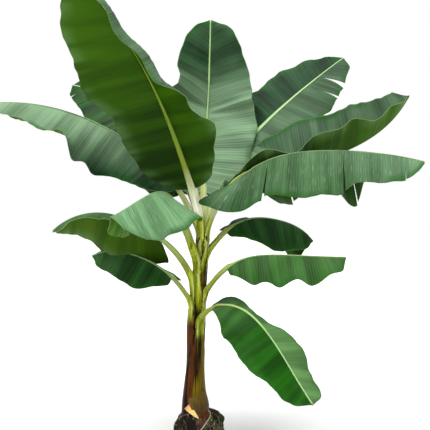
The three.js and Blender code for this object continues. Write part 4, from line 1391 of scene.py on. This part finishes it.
def creeping_line(dice, length, start_climb, climb_step, turn_step):
    """A line over the soil that wanders as a root does."""
    turn = dice.uniform(0, 2 * math.pi)
    climb = start_climb
    drift = dice.uniform(-1, 1)
    phase = dice.uniform(0, 6)
    line = []
    for i in range(length):
        line.append(crumbled(ball_point(turn, max(ROOT_LOW, min(climb, ROOT_HIGH)))) * ROOT_OUT)
        turn += turn_step * (drift + math.sin(phase + i * SIDE_SWING))
        climb += climb_step * (1 + CLIMB_BEND * math.sin(phase * 2 + i * CLIMB_SWING))
    return line


def make_strands(name):
    material, count, seed, radius, climb_step, turn_step, starts, length = STRANDS[name]
    dice = random.Random(seed)
    points, faces = [], []
    for _ in range(count):
        start = dice.uniform(*starts)
        line = creeping_line(dice, length, start, climb_step * dice.choice([-1, 1]), turn_step)
        thick = dice.uniform(*radius)
        radii = [thick * (1 - ROOT_TAPER * i / length) for i in range(length)]
        faces += [tuple(len(points) + corner for corner in face) for face in tube_faces(length, ROOT_SIDES)]
        points += [tuple(point) for point in tube(line, radii, ROOT_SIDES)]
    strands = make_piece(name, points, faces, [material])
    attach(strands, "root")
    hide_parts("root_ball")
    print(name, "faces:", len(faces))


for name in STRANDS:
    make_strands(name)

# %% [markdown]
# ## Old sheath
# The outermost sheath is an old brown one. Its foot runs down over the front of the soil to a blunt
# point, with a pale dry margin on its right.
# %% Old sheath skin
# Heights in metres between which the brown foot turns olive
OLIVE_FOOT = (0.2, 0.31)


def old_sheath_skin():
    """Dull brown with dark streaks along its fibres, olive higher up, with a bleached papery margin."""
    material, tree, surface = new_material("Old leaf sheath")
    place = add_node(tree, "TexCoord").outputs["Object"]
    streaks = drawn_noise(tree, place, (9, 9, 45), 3.0)
    share = add_node(tree, "MapRange", {"Value": streaks, "From Min": 0.4, "From Max": 0.62})
    tone = add_node(tree, "Mix", {0: share, 6: linear("#160704"), 7: linear("#5c3210")}, data_type="RGBA")
    split = add_node(tree, "SeparateXYZ", {"Vector": place})
    rise = add_node(tree, "MapRange", {"Value": split.outputs["Z"], "From Min": OLIVE_FOOT[0],
                                       "From Max": OLIVE_FOOT[1], "To Max": 0.7})
    upper = add_node(tree, "Mix", {0: rise, 6: tone, 7: linear("#5d4e0a")}, data_type="RGBA")
    margin = add_node(tree, "Attribute", attribute_name="margin")
    dried = add_node(tree, "Mix", {0: margin.outputs["Fac"], 6: upper, 7: linear("#b3a892")},
                     data_type="RGBA")
    finish_surface(tree, surface, dried, 0.5, 0.2)
    return material


# %% Make the old sheath's foot
OLD_SHEATH = {
    "rows": 40, "columns": 36, "top": 330, "bottom": 144,
    # Its two sides from the top down, in degrees round the stem, -90 being the front
    "right": [-5, -9, -24, -66, -88], "left": [-140, -134, -118, -103, -93],
    # It starts this far under the stem's skin and comes out this far over it
    "under": 6, "over": 6, "margin": 5, "skin": 3,
}


def under_old_sheath(z, ring):
    """How far out the soil or the stem reaches, whichever is further, by height and direction."""
    rise = np.clip((z - BALL["rim_height"]) / (BALL["top"] - BALL["rim_height"]), 0, 1)
    on_ball = BALL["rim"] * np.sqrt(1 - rise ** 2) ** BALL["shoulder"]
    on_stem_z = np.maximum(z, STEM["foot"])
    centre = stem_centre(on_stem_z)
    stem_share = (on_stem_z - STEM["foot"]) / (STEM["top"] - STEM["foot"])
    on_stem = (centre[:, None, :] * ring).sum(-1) + spread(STEM_RADII, stem_share)[:, None]
    return np.maximum(on_ball[:, None], on_stem)


def make_old_sheath():
    down = np.linspace(0, 1, OLD_SHEATH["rows"])
    z = OLD_SHEATH["top"] + (OLD_SHEATH["bottom"] - OLD_SHEATH["top"]) * down
    right = np.radians(spread(OLD_SHEATH["right"], down))
    left = np.radians(spread(OLD_SHEATH["left"], down))
    turn = left[:, None] + (right - left)[:, None] * np.linspace(0, 1, OLD_SHEATH["columns"])
    ring = np.stack([np.cos(turn), np.sin(turn), 0 * turn], -1)
    lift = (OLD_SHEATH["over"] + OLD_SHEATH["under"]) * smooth(down / 0.5) - OLD_SHEATH["under"]
    reach = under_old_sheath(z, ring) + lift[:, None]
    points = reach[..., None] * ring
    points[..., 2] = z[:, None]
    to_edge = (right[:, None] - turn) * reach
    values = {"margin": 1 - smooth((to_edge - OLD_SHEATH["margin"] / 2) / OLD_SHEATH["margin"])}
    # The same skin on its upper side, its underside and its edges
    skins = [old_sheath_skin()] * 3
    foot = make_piece("old_sheath_foot", points.reshape(-1, 3), grid_faces(*turn.shape), skins,
                      values=values)
    thicken(foot, OLD_SHEATH["skin"])
    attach(foot, "root")
    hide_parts("root_ball")
    print("old sheath faces:", len(foot.data.polygons))


make_old_sheath()

# %% [markdown]
# ## Cut stub
# An old leaf was cut off near the ground. What is left of its sheath is a flat yellow horn with a dry
# brown rim, made as a lofted oval like the plain solid but with a ragged cut end.
# %% Stub skin
def stub_skin():
    """Dry straw-yellow sheath, dull, with fibres along it, and brown where it was cut."""
    material, tree, surface = new_material("Cut leaf sheath")
    place = add_node(tree, "TexCoord").outputs["Object"]
    fibres = drawn_noise(tree, place, (6, 17, 6), 3.0)
    tone = add_node(tree, "Mix", {0: fibres, 6: linear("#ead484"), 7: linear("#bd9440")}, data_type="RGBA")
    tip = add_node(tree, "Attribute", attribute_name="tip")
    dried = add_node(tree, "Mix", {0: tip.outputs["Fac"], 6: tone, 7: linear("#c98a58")}, data_type="RGBA")
    finish_surface(tree, surface, dried, 0.6, 0.5)
    return material


# %% Make the cut stub
STUB = {
    "rows": 22, "sides": 28, "heading": 262, "height": 252, "drop": 62,
    # From its cut end to its narrow lower end: how far it stands out in front, and how far to the left
    "reach": [63, 101], "swing": [30, -42],
    "width": 40, "widths": [1, 0.9, 0.62, 0.38, 0.12], "thickness": 13, "thinning": 0.4,
    "ragged": 0.05, "rim": 0.3,
}
STUB_SEED = 77


def make_stub():
    share = np.linspace(0, 1, STUB["rows"])
    out = direction(STUB["heading"], 0)
    across = direction(STUB["heading"] - 90, 0)
    wide_way = (np.array([0, 0, 1]) - across) / math.sqrt(2)
    reach = spread(STUB["reach"], share)[:, None]
    swing = spread(STUB["swing"], share)[:, None]
    centre = stem_centre(STUB["height"] - STUB["drop"] * share) + out * reach + across * swing
    wide = STUB["width"] / 2 * spread(STUB["widths"], share)
    thick = STUB["thickness"] / 2 * (1 - STUB["thinning"] * share)
    turn = np.linspace(0, 2 * np.pi, STUB["sides"], endpoint=False)
    ragged = 1 + STUB["ragged"] * wander(turn * 4, STUB_SEED)
    points = (centre[:, None, :] + wide_way * (wide[:, None] * np.cos(turn) * ragged)[..., None]
              + out * (thick[:, None] * np.sin(turn))[..., None])
    rim = np.repeat(1 - smooth(share / STUB["rim"]), STUB["sides"])
    stub = make_piece("cut_sheath_stub", points.reshape(-1, 3), tube_faces(STUB["rows"], STUB["sides"]),
                      [stub_skin()], values={"tip": rim})
    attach(stub, "root")
    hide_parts("cut_stub")
    print("stub faces:", len(stub.data.polygons))


make_stub()
